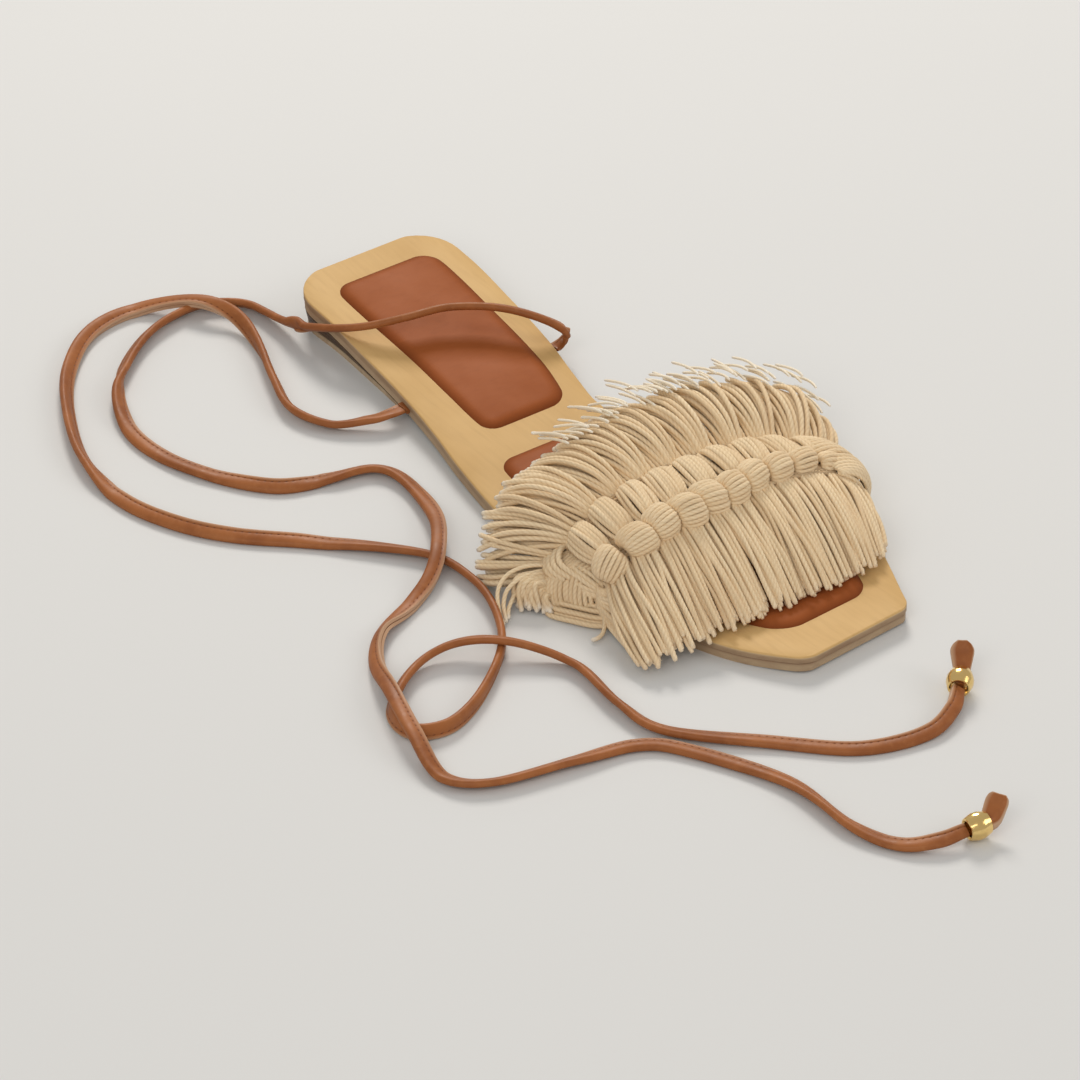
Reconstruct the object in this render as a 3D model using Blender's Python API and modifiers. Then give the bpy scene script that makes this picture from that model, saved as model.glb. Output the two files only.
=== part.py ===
"""Construction model of a right-foot fringe sandal with long leather ties.

Metres, +Z up, toe towards -Y, inner (medial) side towards +X, floor at z = 0.
Inside the functions a place on the shoe is given as x, across the shoe from the axis of the
last, and s, the distance from the back of the heel towards the toe.
"""

import math
import random

import bmesh
import bpy
from mathutils import Vector

# Fit between pieces
CLEARANCE = 0.0003

# Sole
SOLE_LENGTH = 0.250
BALL_WIDTH = 0.090
BOARD_THICK = 0.0024
OUTSOLE_THICK = 0.0026
OUTSOLE_INSET = 0.0004
HEEL_HEIGHT = 0.0135
HEEL_CORNER = 0.014
TOE_CORNER = 0.0035
TOE_SPRING = 0.0010
TOE_SLANT = 0.09
HEEL_BLOCK_LENGTH = 0.066
HEEL_BREAST_CORNER = 0.001
HEEL_TAPER = 0.0016
TOP_LIFT_THICK = 0.0016

# Pads in the board's windows
HEEL_PAD_LENGTH = 0.089
HEEL_PAD_WIDTH = 0.039
HEEL_PAD_START = 0.010
FOREFOOT_PAD_LENGTH = 0.124
FOREFOOT_PAD_WIDTH = 0.065
FOREFOOT_PAD_START = 0.112
PAD_RISE = 0.0017
PAD_SINK = 0.0006
PAD_ROUNDING = 0.0050
PAD_FULLNESS = 2.2
PAD_CORNER = 0.0060

# Knotted band
BAND_THICK = 0.0034
BAND_CROWN = 0.0155
BAND_HALF_CROWN = 0.0125
BAND_HALF_FOOT = 0.0075
BAND_STATION_LATERAL = 0.183
BAND_STATION_MEDIAL = 0.187
BAND_STATION_CROWN = -0.006
BAND_SQUARENESS = 2.5
BAND_BULGE = 0.8
BAND_SECTIONS = 54
KNOTS_PER_ROW = 10
KNOT_RISE = 0.0022
KNOT_SPREAD = 0.56
TONGUE_LENGTH = 0.009
TONGUE_THICK = 0.0012

# Fringes
TOE_CORD_LENGTH = 0.039
HEEL_CORD_LENGTH = 0.042
TOE_FRINGE_THICK = 0.0042
HEEL_FRINGE_THICK = 0.0078
LOCKS = 17
COLUMNS_PER_LOCK = 4
LOCK_SEED = 5
LOCK_DEPTH = 0.42
LOCK_JAG = 0.10
FRINGE_MARGIN = 0.05
FRINGE_SIDE = 0.003
FRINGE_BEND = 0.42
TOE_LIFT = 0.10
HEEL_LIFT = 0.26

# Ties
TIE_DIAMETER = 0.0040
TIE_STATION = 0.0695
TIE_STRAP_WIDTH = 0.0046
TIE_STRAP_THICK = 0.0012
TIE_OVERHANG = 0.0012
TIE_SPACING = 2.6
TIE_LEAD = 0.026
TIE_LEAD_STEPS = 11
TIE_TAIL = 0.007
TIE_TAIL_STEPS = 3
BEAD_DIAMETER = 0.0082
BEAD_HOLE = 0.0046
KNOT_LENGTH = 0.0125
KNOT_WIDTH = 0.0074
KNOT_THICK = 0.0052
KNOT_DROP = 0.12
KNOT_CAGE = 1.28

# Distances between the sections of the lofts, and steps of the fine curves that they are read from
SOLE_SPACING = 0.0085
PAD_SPACING = 0.011
HEEL_SPACING = 0.012
ARCH_STEPS = 240
ROUTE_STEPS = 16

# Where the origin lies: on the floor under the middle of the shoe
AXIS_X = 0.0041
TOE_REACH = 0.00135
MIDDLE = (SOLE_LENGTH + TOE_REACH) / 2

# Plan of the board, from heel to toe:
# share of SOLE_LENGTH, medial edge and lateral edge as shares of BALL_WIDTH
PLAN = [
    (0.00, 0.317, 0.311),
    (0.08, 0.317, 0.311),
    (0.18, 0.292, 0.331),
    (0.28, 0.251, 0.361),
    (0.36, 0.200, 0.400),
    (0.42, 0.170, 0.439),
    (0.48, 0.185, 0.472),
    (0.54, 0.247, 0.500),
    (0.60, 0.339, 0.518),
    (0.66, 0.428, 0.523),
    (0.72, 0.478, 0.514),
    (0.77, 0.478, 0.494),
    (0.83, 0.439, 0.456),
    (0.89, 0.378, 0.400),
    (0.93, 0.333, 0.347),
    (0.97, 0.283, 0.272),
    (1.00, 0.246, 0.208),
]

# Side view: share of SOLE_LENGTH, share of the heel's rise over the forefoot
RISE = [
    (0.00, 1.000),
    (0.14, 0.600),
    (0.264, 0.350),
    (0.40, 0.125),
    (0.54, 0.010),
    (0.60, 0.000),
    (1.00, 0.000),
]

# Pad outlines: share of the pad's length, medial and lateral edges as shares of its width
HEEL_PAD_PLAN = [
    (0.00, 0.500, 0.460),
    (0.10, 0.528, 0.478),
    (0.45, 0.470, 0.500),
    (0.75, 0.385, 0.550),
    (0.90, 0.300, 0.578),
    (1.00, 0.215, 0.585),
]
FOREFOOT_PAD_PLAN = [
    (0.00, -0.030, 0.460),
    (0.07, 0.040, 0.485),
    (0.16, 0.140, 0.500),
    (0.27, 0.255, 0.520),
    (0.39, 0.375, 0.530),
    (0.53, 0.460, 0.525),
    (0.67, 0.460, 0.490),
    (0.83, 0.385, 0.420),
    (0.94, 0.320, 0.310),
    (1.00, 0.280, 0.225),
]
PAD_COLUMNS = [0.0, 0.02, 0.06, 0.13, 0.30, 0.50, 0.70, 0.87, 0.94, 0.98, 1.0]

# Wall of the band along its arch: share of the arch, share of BAND_THICK
BAND_WALL = [(0.00, 0.50), (0.06, 0.85), (0.14, 1.00), (0.86, 1.00), (0.94, 0.85), (1.00, 0.50)]

# Tips of the cords, measured from their roots along the arch:
# share of the arch from the lateral side, then outward, along and upward as shares of the cord
TOE_TIPS = [
    (0.00, -0.32, 0.82, -0.10),
    (0.15, -0.20, 0.90, -0.30),
    (0.28, -0.08, 0.92, -0.34),
    (0.50, 0.00, 0.93, -0.36),
    (0.72, 0.00, 0.89, -0.35),
    (0.85, -0.04, 0.78, -0.30),
    (1.00, 0.00, 0.54, -0.12),
]
HEEL_TIPS = [
    (0.00, -0.50, -0.46, -0.20),
    (0.15, -0.32, -0.72, -0.02),
    (0.30, -0.14, -0.86, -0.08),
    (0.50, 0.02, -0.94, -0.02),
    (0.70, 0.14, -0.92, 0.04),
    (0.85, 0.26, -0.84, 0.08),
    (1.00, 0.36, -0.62, 0.10),
]
# Side view of a lock: share of its length, share of the fringe's thickness
TOE_LOCK = [(0.0, 0.70), (0.30, 1.00), (0.70, 0.85), (1.0, 0.45)]
HEEL_LOCK = [(0.0, 0.38), (0.30, 0.95), (0.65, 1.00), (1.0, 0.40)]
LOCK_STEPS = [0.0, 0.15, 0.35, 0.6, 0.82, 1.0]

# Free routes of the ties on the floor, chosen by hand: x, s and z in millimetres
LATERAL_ROUTE = [
    (-38.0, 69.4, 4.5), (-44.0, 67.4, 3.6), (-54.4, 60.0, 2.5), (-58.8, 46.0, 2.4),
    (-53.2, 28.6, 2.4), (-46.0, 10.8, 2.6), (-43.5, -4.1, 4.6), (-47.0, -14.5, 6.8),
    (-53.5, -23.5, 5.4), (-66.0, -30.5, 2.5), (-84.1, -27.0, 2.4), (-102.0, -12.0, 2.4),
    (-115.6, 8.2, 2.4), (-126.0, 32.0, 2.4), (-128.5, 56.2, 2.4), (-123.1, 76.1, 2.4),
    (-112.8, 92.4, 2.4), (-96.5, 108.1, 2.4), (-81.0, 124.5, 2.4), (-71.5, 137.7, 2.4),
    (-69.6, 151.5, 2.4), (-72.0, 166.4, 2.4), (-80.1, 183.3, 2.4), (-91.1, 195.3, 2.4),
    (-107.4, 207.0, 2.4), (-121.0, 212.0, 2.4), (-130.8, 207.5, 2.4), (-129.5, 196.5, 2.4),
    (-118.8, 186.6, 2.4), (-107.5, 181.0, 3.4), (-97.0, 181.6, 5.4), (-88.0, 187.5, 6.8),
    (-78.8, 196.0, 5.2), (-72.0, 209.0, 2.6), (-74.0, 232.0, 2.4), (-71.2, 251.0, 2.4),
    (-49.4, 273.7, 2.4), (-31.0, 291.5, 2.4), (-11.0, 297.4, 2.6), (1.6, 293.6, 3.5),
    (8.4, 287.8, 4.1),
]
MEDIAL_ROUTE = [
    (25.4, 69.5, 4.7), (27.0, 70.2, 5.9), (27.7, 71.6, 9.0), (25.6, 71.6, 12.6),
    (20.6, 67.2, 15.9), (14.6, 60.6, 17.8), (8.2, 54.5, 18.4), (-2.0, 48.1, 18.5), (-13.6, 44.2, 17.4),
    (-24.0, 37.6, 14.8), (-30.6, 29.0, 12.2), (-33.0, 17.0, 8.0), (-33.0, 5.0, 4.4),
    (-34.4, -10.0, 2.5), (-44.0, -18.6, 2.4), (-56.0, -19.4, 2.4), (-70.6, -14.8, 2.4),
    (-86.4, -3.7, 2.4), (-98.6, 10.5, 2.4), (-105.6, 31.0, 2.4), (-102.0, 53.8, 2.4),
    (-88.5, 77.0, 2.4), (-72.0, 84.0, 2.4), (-57.5, 88.6, 2.4), (-54.3, 101.0, 2.6),
    (-60.0, 122.5, 5.2), (-70.4, 138.5, 6.8), (-80.0, 147.6, 4.8), (-92.0, 153.6, 2.5),
    (-108.5, 161.5, 2.4), (-119.0, 174.0, 3.4), (-126.0, 191.0, 6.8), (-133.0, 211.5, 6.8),
    (-136.8, 231.0, 2.8), (-127.0, 242.0, 2.4), (-101.3, 247.6, 2.4), (-82.0, 251.6, 2.4),
    (-71.4, 262.6, 2.4), (-58.6, 292.0, 2.4), (-57.6, 320.0, 2.4), (-52.0, 335.5, 2.5),
    (-43.2, 342.2, 3.4), (-34.4, 344.0, 4.1),
]

# Looks of the pieces: colour, roughness, metallic
FINISHES = {
    "board": ((0.66, 0.46, 0.23), 0.42, 0.0),
    "pad leather": ((0.37, 0.13, 0.05), 0.38, 0.0),
    "sole": ((0.48, 0.33, 0.18), 0.55, 0.0),
    "stacked heel": ((0.20, 0.12, 0.07), 0.55, 0.0),
    "top lift": ((0.62, 0.50, 0.36), 0.60, 0.0),
    "cotton": ((0.72, 0.55, 0.36), 0.90, 0.0),
    "tie leather": ((0.30, 0.11, 0.05), 0.50, 0.0),
    "gold": ((0.85, 0.60, 0.22), 0.20, 1.0),
}


def curve_value(rows, share, column=1):
    """Value of one column at a share, on a smooth curve that never overshoots its rows."""
    knots = [row[0] for row in rows]
    values = [row[column] for row in rows]
    share = min(max(share, knots[0]), knots[-1])
    slopes = [(v1 - v0) / (k1 - k0) for k0, k1, v0, v1 in zip(knots, knots[1:], values, values[1:])]

    def tangent(i):
        if i == 0 or i == len(rows) - 1:
            return slopes[0] if i == 0 else slopes[-1]
        before, after = slopes[i - 1], slopes[i]
        return 0.0 if before * after <= 0 else 2 * before * after / (before + after)

    i = max(j for j in range(len(rows) - 1) if knots[j] <= share)
    width = knots[i + 1] - knots[i]
    t = (share - knots[i]) / width
    return (
        values[i] * (1 + 2 * t) * (1 - t) ** 2
        + values[i + 1] * t * t * (3 - 2 * t)
        + width * t * (1 - t) * (tangent(i) * (1 - t) - tangent(i + 1) * t)
    )


def corner_inset(distance, radius):
    """How far a round corner cuts into a side at a distance from the end."""
    if distance >= radius:
        return 0.0
    return radius - math.sqrt(radius**2 - (radius - max(distance, 0.0)) ** 2)


def edges(s):
    """Lateral and medial x of the board's outline, with its round heel and toe corners."""
    share = s / SOLE_LENGTH
    corner = corner_inset(s, HEEL_CORNER) + corner_inset(SOLE_LENGTH - s, TOE_CORNER)
    medial = curve_value(PLAN, share, 1) * BALL_WIDTH - corner
    lateral = -curve_value(PLAN, share, 2) * BALL_WIDTH + corner
    return lateral, medial


def board_top(s):
    """Height of the board's top face."""
    forefoot = OUTSOLE_THICK + CLEARANCE + BOARD_THICK
    share = s / SOLE_LENGTH
    spring = TOE_SPRING * max(0.0, (share - 0.9) / 0.1) ** 2
    return forefoot + (HEEL_HEIGHT - forefoot) * curve_value(RISE, share) + spring


def place(x, s, z):
    """A place on the shoe, in the part's frame."""
    return Vector((AXIS_X + x, MIDDLE - s, z))


def slanted(x, s):
    """The toe's front edge is a little further forward on the lateral side."""
    t = min(max((s / SOLE_LENGTH - 0.8) / 0.2, 0.0), 1.0)
    return s - TOE_SLANT * x * t * t * (3 - 2 * t)


def stations(first, last, first_radius, last_radius, spacing):
    """Sections from first to last, close together where the end corners turn."""
    turns = [1 - math.cos(math.radians(angle)) for angle in (0, 22, 42, 62, 90)]
    start = [first + first_radius * turn for turn in turns]
    end = [last - last_radius * turn for turn in reversed(turns)]
    count = max(1, round((end[0] - start[-1]) / spacing))
    middle = [start[-1] + (end[0] - start[-1]) * i / count for i in range(1, count)]
    return start + middle + end


def material(name):
    """The named finish as a Principled material, made once."""
    if name in bpy.data.materials:
        return bpy.data.materials[name]
    colour, roughness, metallic = FINISHES[name]
    made = bpy.data.materials.new(name)
    made.use_nodes = True
    shader = made.node_tree.nodes["Principled BSDF"]
    shader.inputs["Base Color"].default_value = (*colour, 1.0)
    shader.inputs["Roughness"].default_value = roughness
    shader.inputs["Metallic"].default_value = metallic
    made.diffuse_color = (*colour, 1.0)
    return made


def add_object(name, data, finish, collection):
    """A named piece with its finish, in the shoe's collection."""
    piece = bpy.data.objects.new(name, data)
    collection.objects.link(piece)
    data.materials.append(material(finish))
    return piece


def grid_mesh(name, upper, lower=None):
    """A sheet through rows of points, or a closed loft when a second sheet lies under it."""
    bm = bmesh.new()
    top = [[bm.verts.new(point) for point in row] for row in upper]
    for near, far in zip(top, top[1:]):
        for a, b, c, d in zip(near, near[1:], far[1:], far):
            bm.faces.new((a, d, c, b))
    if lower is not None:
        under = [[bm.verts.new(point) for point in row] for row in lower]
        for near, far in zip(under, under[1:]):
            for a, b, c, d in zip(near, near[1:], far[1:], far):
                bm.faces.new((a, b, c, d))
        rim_top = top[0] + [row[-1] for row in top[1:]]
        rim_top += top[-1][-2::-1] + [row[0] for row in top[-2:0:-1]]
        rim_under = under[0] + [row[-1] for row in under[1:]]
        rim_under += under[-1][-2::-1] + [row[0] for row in under[-2:0:-1]]
        for i, corner in enumerate(rim_top):
            j = (i + 1) % len(rim_top)
            bm.faces.new((corner, rim_top[j], rim_under[j], rim_under[i]))
    bmesh.ops.recalc_face_normals(bm, faces=bm.faces)
    mesh = bpy.data.meshes.new(name)
    bm.to_mesh(mesh)
    bm.free()
    return mesh


def smooth_shade(mesh, degrees=40.0):
    """Round shading with crisp edges."""
    mesh.shade_smooth()
    mesh.set_sharp_from_angle(angle=math.radians(degrees))


def plan_rows(sections, sides, columns, height):
    """Rows of points over a plan: sides(s) gives both edges, height(x, s, edge distance) gives z."""
    rows = []
    for s in sections:
        lateral, medial = sides(s)
        row = []
        for share in columns:
            x = lateral + (medial - lateral) * share
            reach = min(x - lateral, medial - x, s - sections[0], sections[-1] - s)
            row.append(place(x, slanted(x, s), height(x, s, reach)))
        rows.append(row)
    return rows


def even_columns(count):
    return [i / count for i in range(count + 1)]


def sole_sheet(name, drop, inset, thick, finish, collection):
    """A sheet with the sole's outline, a given drop under the board's top, solidified downwards."""

    def sides(s):
        lateral, medial = edges(s)
        return lateral + inset, medial - inset

    sections = stations(inset, SOLE_LENGTH - inset, HEEL_CORNER, TOE_CORNER, SOLE_SPACING)
    rows = plan_rows(sections, sides, even_columns(6), lambda x, s, reach: board_top(s) - drop)
    piece = add_object(name, grid_mesh(name, rows), finish, collection)
    if piece.data.polygons[0].normal.z < 0:
        piece.data.flip_normals()
    shell = piece.modifiers.new("Thickness", "SOLIDIFY")
    shell.thickness = thick
    shell.offset = -1.0
    shell.use_even_offset = True
    smooth_shade(piece.data)
    return piece


def cut(piece, cutter):
    """Takes the cutter's shape out of a piece."""
    knife = piece.modifiers.new(cutter.name, "BOOLEAN")
    knife.operation = "DIFFERENCE"
    knife.solver = "EXACT"
    knife.object = cutter


def add_cutter(name, mesh, collection):
    """A guide that only shapes other pieces."""
    cutter = bpy.data.objects.new(name, mesh)
    collection.objects.link(cutter)
    cutter.display_type = "WIRE"
    cutter.hide_render = True
    return cutter


def pad_sides(plan, start, length, width, grow):
    """Edges of a pad, or of its window when grown by the clearance."""

    def sides(s):
        share = (s - start) / length
        corner = corner_inset(s - start + grow, PAD_CORNER)
        corner += corner_inset(start + length + grow - s, PAD_CORNER)
        medial = curve_value(plan, share, 1) * width + grow - corner
        lateral = -curve_value(plan, share, 2) * width - grow + corner
        return lateral, medial

    return sides


def make_pad(name, plan, start, length, width, collection, cutters):
    """A domed leather pad and the cutter for its window in the board."""
    sections = stations(start, start + length, PAD_CORNER, PAD_CORNER, PAD_SPACING)

    def dome(x, s, reach):
        edge = min(reach / PAD_ROUNDING, 1.0)
        swell = 1 - (1 - edge) ** PAD_FULLNESS
        return board_top(s) - PAD_SINK + (PAD_SINK + PAD_RISE) * swell

    sides = pad_sides(plan, start, length, width, 0.0)
    upper = plan_rows(sections, sides, PAD_COLUMNS, dome)
    lower = plan_rows(sections, sides, PAD_COLUMNS, lambda x, s, reach: board_top(s) - BOARD_THICK)
    pad = add_object(name, grid_mesh(name, upper, lower), "pad leather", collection)
    smooth_shade(pad.data, 50.0)

    grown = stations(start - CLEARANCE, start + length + CLEARANCE, PAD_CORNER, PAD_CORNER, PAD_SPACING)
    wide = pad_sides(plan, start, length, width, CLEARANCE)
    above = plan_rows(grown, wide, even_columns(2), lambda x, s, reach: board_top(s) + BOARD_THICK)
    below = plan_rows(grown, wide, even_columns(2), lambda x, s, reach: board_top(s) - 2 * BOARD_THICK)
    return add_cutter(name + " window", grid_mesh(name + " window", above, below), cutters)


def make_heel(collection):
    """Stacked heel block with its pale top lift, tapering down from the sole."""
    block_under = TOP_LIFT_THICK + CLEARANCE
    sole_drop = BOARD_THICK + CLEARANCE + OUTSOLE_THICK + CLEARANCE
    sections = stations(OUTSOLE_INSET, HEEL_BLOCK_LENGTH, HEEL_CORNER, HEEL_BREAST_CORNER, HEEL_SPACING)

    def narrowed(inset):
        def sides(s):
            lateral, medial = edges(s)
            return lateral + inset, medial - inset

        return sides

    def rows(inset, height):
        return plan_rows(sections, narrowed(inset), even_columns(4), height)

    upper = rows(OUTSOLE_INSET, lambda x, s, reach: board_top(s) - sole_drop)
    lower = rows(HEEL_TAPER, lambda x, s, reach: block_under)
    add_object("heel_block", grid_mesh("heel_block", upper, lower), "stacked heel", collection)
    lift_upper = rows(HEEL_TAPER, lambda x, s, reach: TOP_LIFT_THICK)
    lift_lower = rows(HEEL_TAPER, lambda x, s, reach: 0.0)
    add_object("heel_top_lift", grid_mesh("heel_top_lift", lift_upper, lift_lower), "top lift", collection)
    for name in ("heel_block", "heel_top_lift"):
        smooth_shade(bpy.data.objects[name].data)


def strap_mesh(name, grow, rise, overhang):
    """The tie's flat stretch under the board, or the channel for it when grown and raised."""
    half = TIE_STRAP_WIDTH / 2 + grow
    sections = [TIE_STATION - half, TIE_STATION + half]
    level = BOARD_THICK + CLEARANCE

    def sides(s):
        lateral, medial = edges(TIE_STATION)
        return lateral - overhang, medial + overhang

    upper = plan_rows(sections, sides, even_columns(4), lambda x, s, reach: board_top(s) - level + rise)
    lower = plan_rows(
        sections, sides, even_columns(4), lambda x, s, reach: board_top(s) - level - TIE_STRAP_THICK - grow
    )
    return grid_mesh(name, upper, lower)


def polyline_normals(points):
    """Left-hand normals of a chain of (x, z) points."""
    normals = []
    for i in range(len(points)):
        before = points[max(i - 1, 0)]
        after = points[min(i + 1, len(points) - 1)]
        dx, dz = after[0] - before[0], after[1] - before[1]
        length = math.hypot(dx, dz)
        normals.append((-dz / length, dx / length))
    return normals


def arch_points(lateral, medial, base_lateral, base_medial, shares):
    """Inner face of the band over the foot, at shares of its length from the lateral side."""
    middle = (lateral + medial) / 2
    half = (medial - lateral) / 2
    fine = []
    for i in range(ARCH_STEPS + 1):
        angle = math.pi * (1 - i / ARCH_STEPS)
        across = math.copysign(abs(math.cos(angle)) ** (2 / BAND_SQUARENESS), math.cos(angle))
        up = abs(math.sin(angle)) ** (2 / BAND_SQUARENESS)
        share = (1 + across) / 2
        base = base_lateral + (base_medial - base_lateral) * share
        fine.append(Vector((middle + half * across, base + BAND_CROWN * up)))
    travel = [0.0]
    for near, far in zip(fine, fine[1:]):
        travel.append(travel[-1] + (far - near).length)
    points = []
    j = 0
    for share in shares:
        target = travel[-1] * share
        while j < len(fine) - 2 and travel[j + 1] < target:
            j += 1
        t = (target - travel[j]) / (travel[j + 1] - travel[j])
        points.append(tuple(fine[j].lerp(fine[j + 1], min(t, 1.0))))
    return points


def band_foot(side, across):
    """Station, edge and height of the board where the band leaves it, across from -1 heel to 1 toe."""
    station = BAND_STATION_LATERAL if side == 0 else BAND_STATION_MEDIAL
    s = station + across * BAND_HALF_FOOT
    return s, edges(s)[side], board_top(s)


def band_station(across, share):
    """Distance from the heel of a point on the band's arch."""
    lateral = band_foot(0, across)[0]
    medial = band_foot(1, across)[0]
    bulge = math.sin(math.pi * share) ** BAND_BULGE if 0 < share < 1 else 0.0
    spread = across * (BAND_HALF_CROWN - BAND_HALF_FOOT) + BAND_STATION_CROWN
    return lateral + (medial - lateral) * share + bulge * spread


def band_arch(across, shares):
    """The arch's inner face at one line across the band: (x, z) points and their normals."""
    _, lateral, top_lateral = band_foot(0, across)
    _, medial, top_medial = band_foot(1, across)
    points = arch_points(lateral - CLEARANCE, medial + CLEARANCE, top_lateral, top_medial, shares)
    return points, polyline_normals(points)


def band_tongue(side, across):
    """Inner face from under the board, round its lower corner and up its edge, in outward order."""
    s, edge, top = band_foot(side, across)
    outward = -1 if side == 0 else 1
    under = top - BOARD_THICK
    points = [(edge - outward * TONGUE_LENGTH, under - CLEARANCE), (edge, under - CLEARANCE)]
    for degrees in (45, 90):
        turn = math.radians(degrees)
        points.append((edge + outward * CLEARANCE * math.sin(turn), under - CLEARANCE * math.cos(turn)))
    return s, points


def knot_height(share, across):
    """Rise of the wrapped knots over the wall: two staggered rows along the arch."""
    pitch = 1.0 / (KNOTS_PER_ROW + 0.5)
    rise = 0.0
    for row, middle in ((0, -0.5), (1, 0.5)):
        for k in range(KNOTS_PER_ROW):
            centre = (k + 0.5 + 0.5 * row) * pitch
            along = (share - centre) / (KNOT_SPREAD * pitch)
            over = (across - middle) / KNOT_SPREAD
            rise = max(rise, 1 - along**2 - over**2)
    return KNOT_RISE * math.sqrt(rise) if rise > 0 else 0.0


def make_band(collection):
    """The knotted cotton band: one hollow wall from tongue to tongue."""
    outer, inner = [], []
    for across in (-1.0, -0.75, -0.5, -0.25, 0.0, 0.25, 0.5, 0.75, 1.0):
        arch, _ = band_arch(across, even_columns(BAND_SECTIONS))
        s_lateral, lateral = band_tongue(0, across)
        s_medial, medial = band_tongue(1, across)
        chain = lateral + arch + medial[::-1]
        inside = [place(x, s_lateral, z) for x, z in lateral]
        inside += [place(x, band_station(across, i / BAND_SECTIONS), z) for i, (x, z) in enumerate(arch)]
        inside += [place(x, s_medial, z) for x, z in medial[::-1]]
        outside = []
        for i, ((nx, nz), point) in enumerate(zip(polyline_normals(chain), inside)):
            share = (i - len(lateral)) / BAND_SECTIONS
            wall = TONGUE_THICK
            if 0 <= share <= 1:
                wall = max(TONGUE_THICK, BAND_THICK * curve_value(BAND_WALL, share))
                wall += knot_height(share, across)
            outside.append(point + Vector((nx, 0.0, nz)) * wall)
        outer.append(outside)
        inner.append(inside)
    band = add_object("upper_band", grid_mesh("upper_band", outer, inner), "cotton", collection)
    smooth_shade(band.data, 60.0)


def pocket_mesh(side):
    """Space in the outsole for one tongue of the band."""
    outward = -1 if side == 0 else 1
    sections = [band_foot(side, across)[0] + across * CLEARANCE for across in (-1.0, 0.0, 1.0)]

    def sides(s):
        edge = edges(s)[side]
        ends = (edge - outward * (TONGUE_LENGTH + CLEARANCE), edge + outward * TONGUE_LENGTH)
        return min(ends), max(ends)

    def floor(x, s, reach):
        return board_top(s) - BOARD_THICK - 2 * CLEARANCE - TONGUE_THICK

    upper = plan_rows(sections, sides, even_columns(1), lambda x, s, reach: board_top(s))
    lower = plan_rows(sections, sides, even_columns(1), floor)
    return grid_mesh("pocket", upper, lower)


def support(x, s):
    """Height of what lies under a fringe's tip: the pad or board, or the floor beside them."""
    lateral, medial = edges(min(s, SOLE_LENGTH))
    inside = lateral - FRINGE_SIDE < x < medial + FRINGE_SIDE
    return board_top(s) + PAD_RISE if inside else 0.0


def make_fringe(name, side, tips, profile, cord, thick, lift, collection):
    """A fringe along one edge of the band: a curved wall of locks with a jagged free edge."""
    draw = random.Random(LOCK_SEED)
    jags = [draw.uniform(-1.0, 1.0) for _ in range(LOCKS)]
    columns = LOCKS * COLUMNS_PER_LOCK
    shares = [FRINGE_MARGIN + (1 - 2 * FRINGE_MARGIN) * i / columns for i in range(columns + 1)]
    arch, normals = band_arch(side, shares)
    outer, inner = [], []
    for i, (share, (x, z), (nx, nz)) in enumerate(zip(shares, arch, normals)):
        lock, column_in_lock = divmod(i, COLUMNS_PER_LOCK)
        ridge = math.sin(math.pi * column_in_lock / COLUMNS_PER_LOCK)
        wall = BAND_THICK * curve_value(BAND_WALL, share)
        root = Vector((x + nx * wall / 2, band_station(side, share) + side * CLEARANCE, z + nz * wall / 2))
        length = cord * (1 + LOCK_JAG * (jags[lock] if column_in_lock else -1.0))
        tip = root + length * Vector([curve_value(tips, share, column) for column in (1, 2, 3)])
        tip.z = max(tip.z, support(tip.x, tip.y) + thick * curve_value(profile, 1.0) / 2 + CLEARANCE)
        bend = root.lerp(tip, FRINGE_BEND) + Vector((nx * lift * cord, 0.0, nz * lift * cord))
        rows_out, rows_in = [], []
        for step in LOCK_STEPS:
            middle = root * (1 - step) ** 2 + bend * 2 * step * (1 - step) + tip * step**2
            half = thick * curve_value(profile, step) * (1 - LOCK_DEPTH + LOCK_DEPTH * ridge) / 2
            if step == 0:
                half = min(half, wall / 2)
            rows_out.append(place(middle.x + nx * half, middle.y, middle.z + nz * half))
            rows_in.append(place(middle.x - nx * half, middle.y, middle.z - nz * half))
        outer.append(rows_out)
        inner.append(rows_in)
    piece = add_object(name, grid_mesh(name, outer, inner), "cotton", collection)
    smooth_shade(piece.data, 60.0)


def smooth_route(points):
    """Points on a smooth curve through the route's own points, closer together at its two ends."""
    chain = [points[0] * 2 - points[1]] + points + [points[-1] * 2 - points[-2]]
    fine = []
    for p0, p1, p2, p3 in zip(chain, chain[1:], chain[2:], chain[3:]):
        for i in range(ROUTE_STEPS):
            t = i / ROUTE_STEPS
            cubic = 3 * p1 - p0 - 3 * p2 + p3
            square = 2 * p0 - 5 * p1 + 4 * p2 - p3
            fine.append((2 * p1 + (p2 - p0) * t + square * t**2 + cubic * t**3) / 2)
    fine.append(points[-1])
    travel = [0.0]
    for near, far in zip(fine, fine[1:]):
        travel.append(travel[-1] + (far - near).length)
    free = travel[-1] - TIE_LEAD - TIE_TAIL
    count = round(free / (TIE_SPACING * TIE_DIAMETER))
    targets = [TIE_LEAD * i / TIE_LEAD_STEPS for i in range(TIE_LEAD_STEPS)]
    targets += [TIE_LEAD + free * i / count for i in range(count)]
    targets += [travel[-1] - TIE_TAIL * (1 - i / TIE_TAIL_STEPS) for i in range(TIE_TAIL_STEPS + 1)]
    result = []
    j = 0
    for target in targets:
        while j < len(fine) - 2 and travel[j + 1] < target:
            j += 1
        t = (target - travel[j]) / (travel[j + 1] - travel[j])
        result.append(fine[j].lerp(fine[j + 1], min(t, 1.0)))
    return result


def route_place(point):
    """A route's own point, given in millimetres on the shoe, in the part's frame."""
    return place(*(value / 1000 for value in point))


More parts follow.
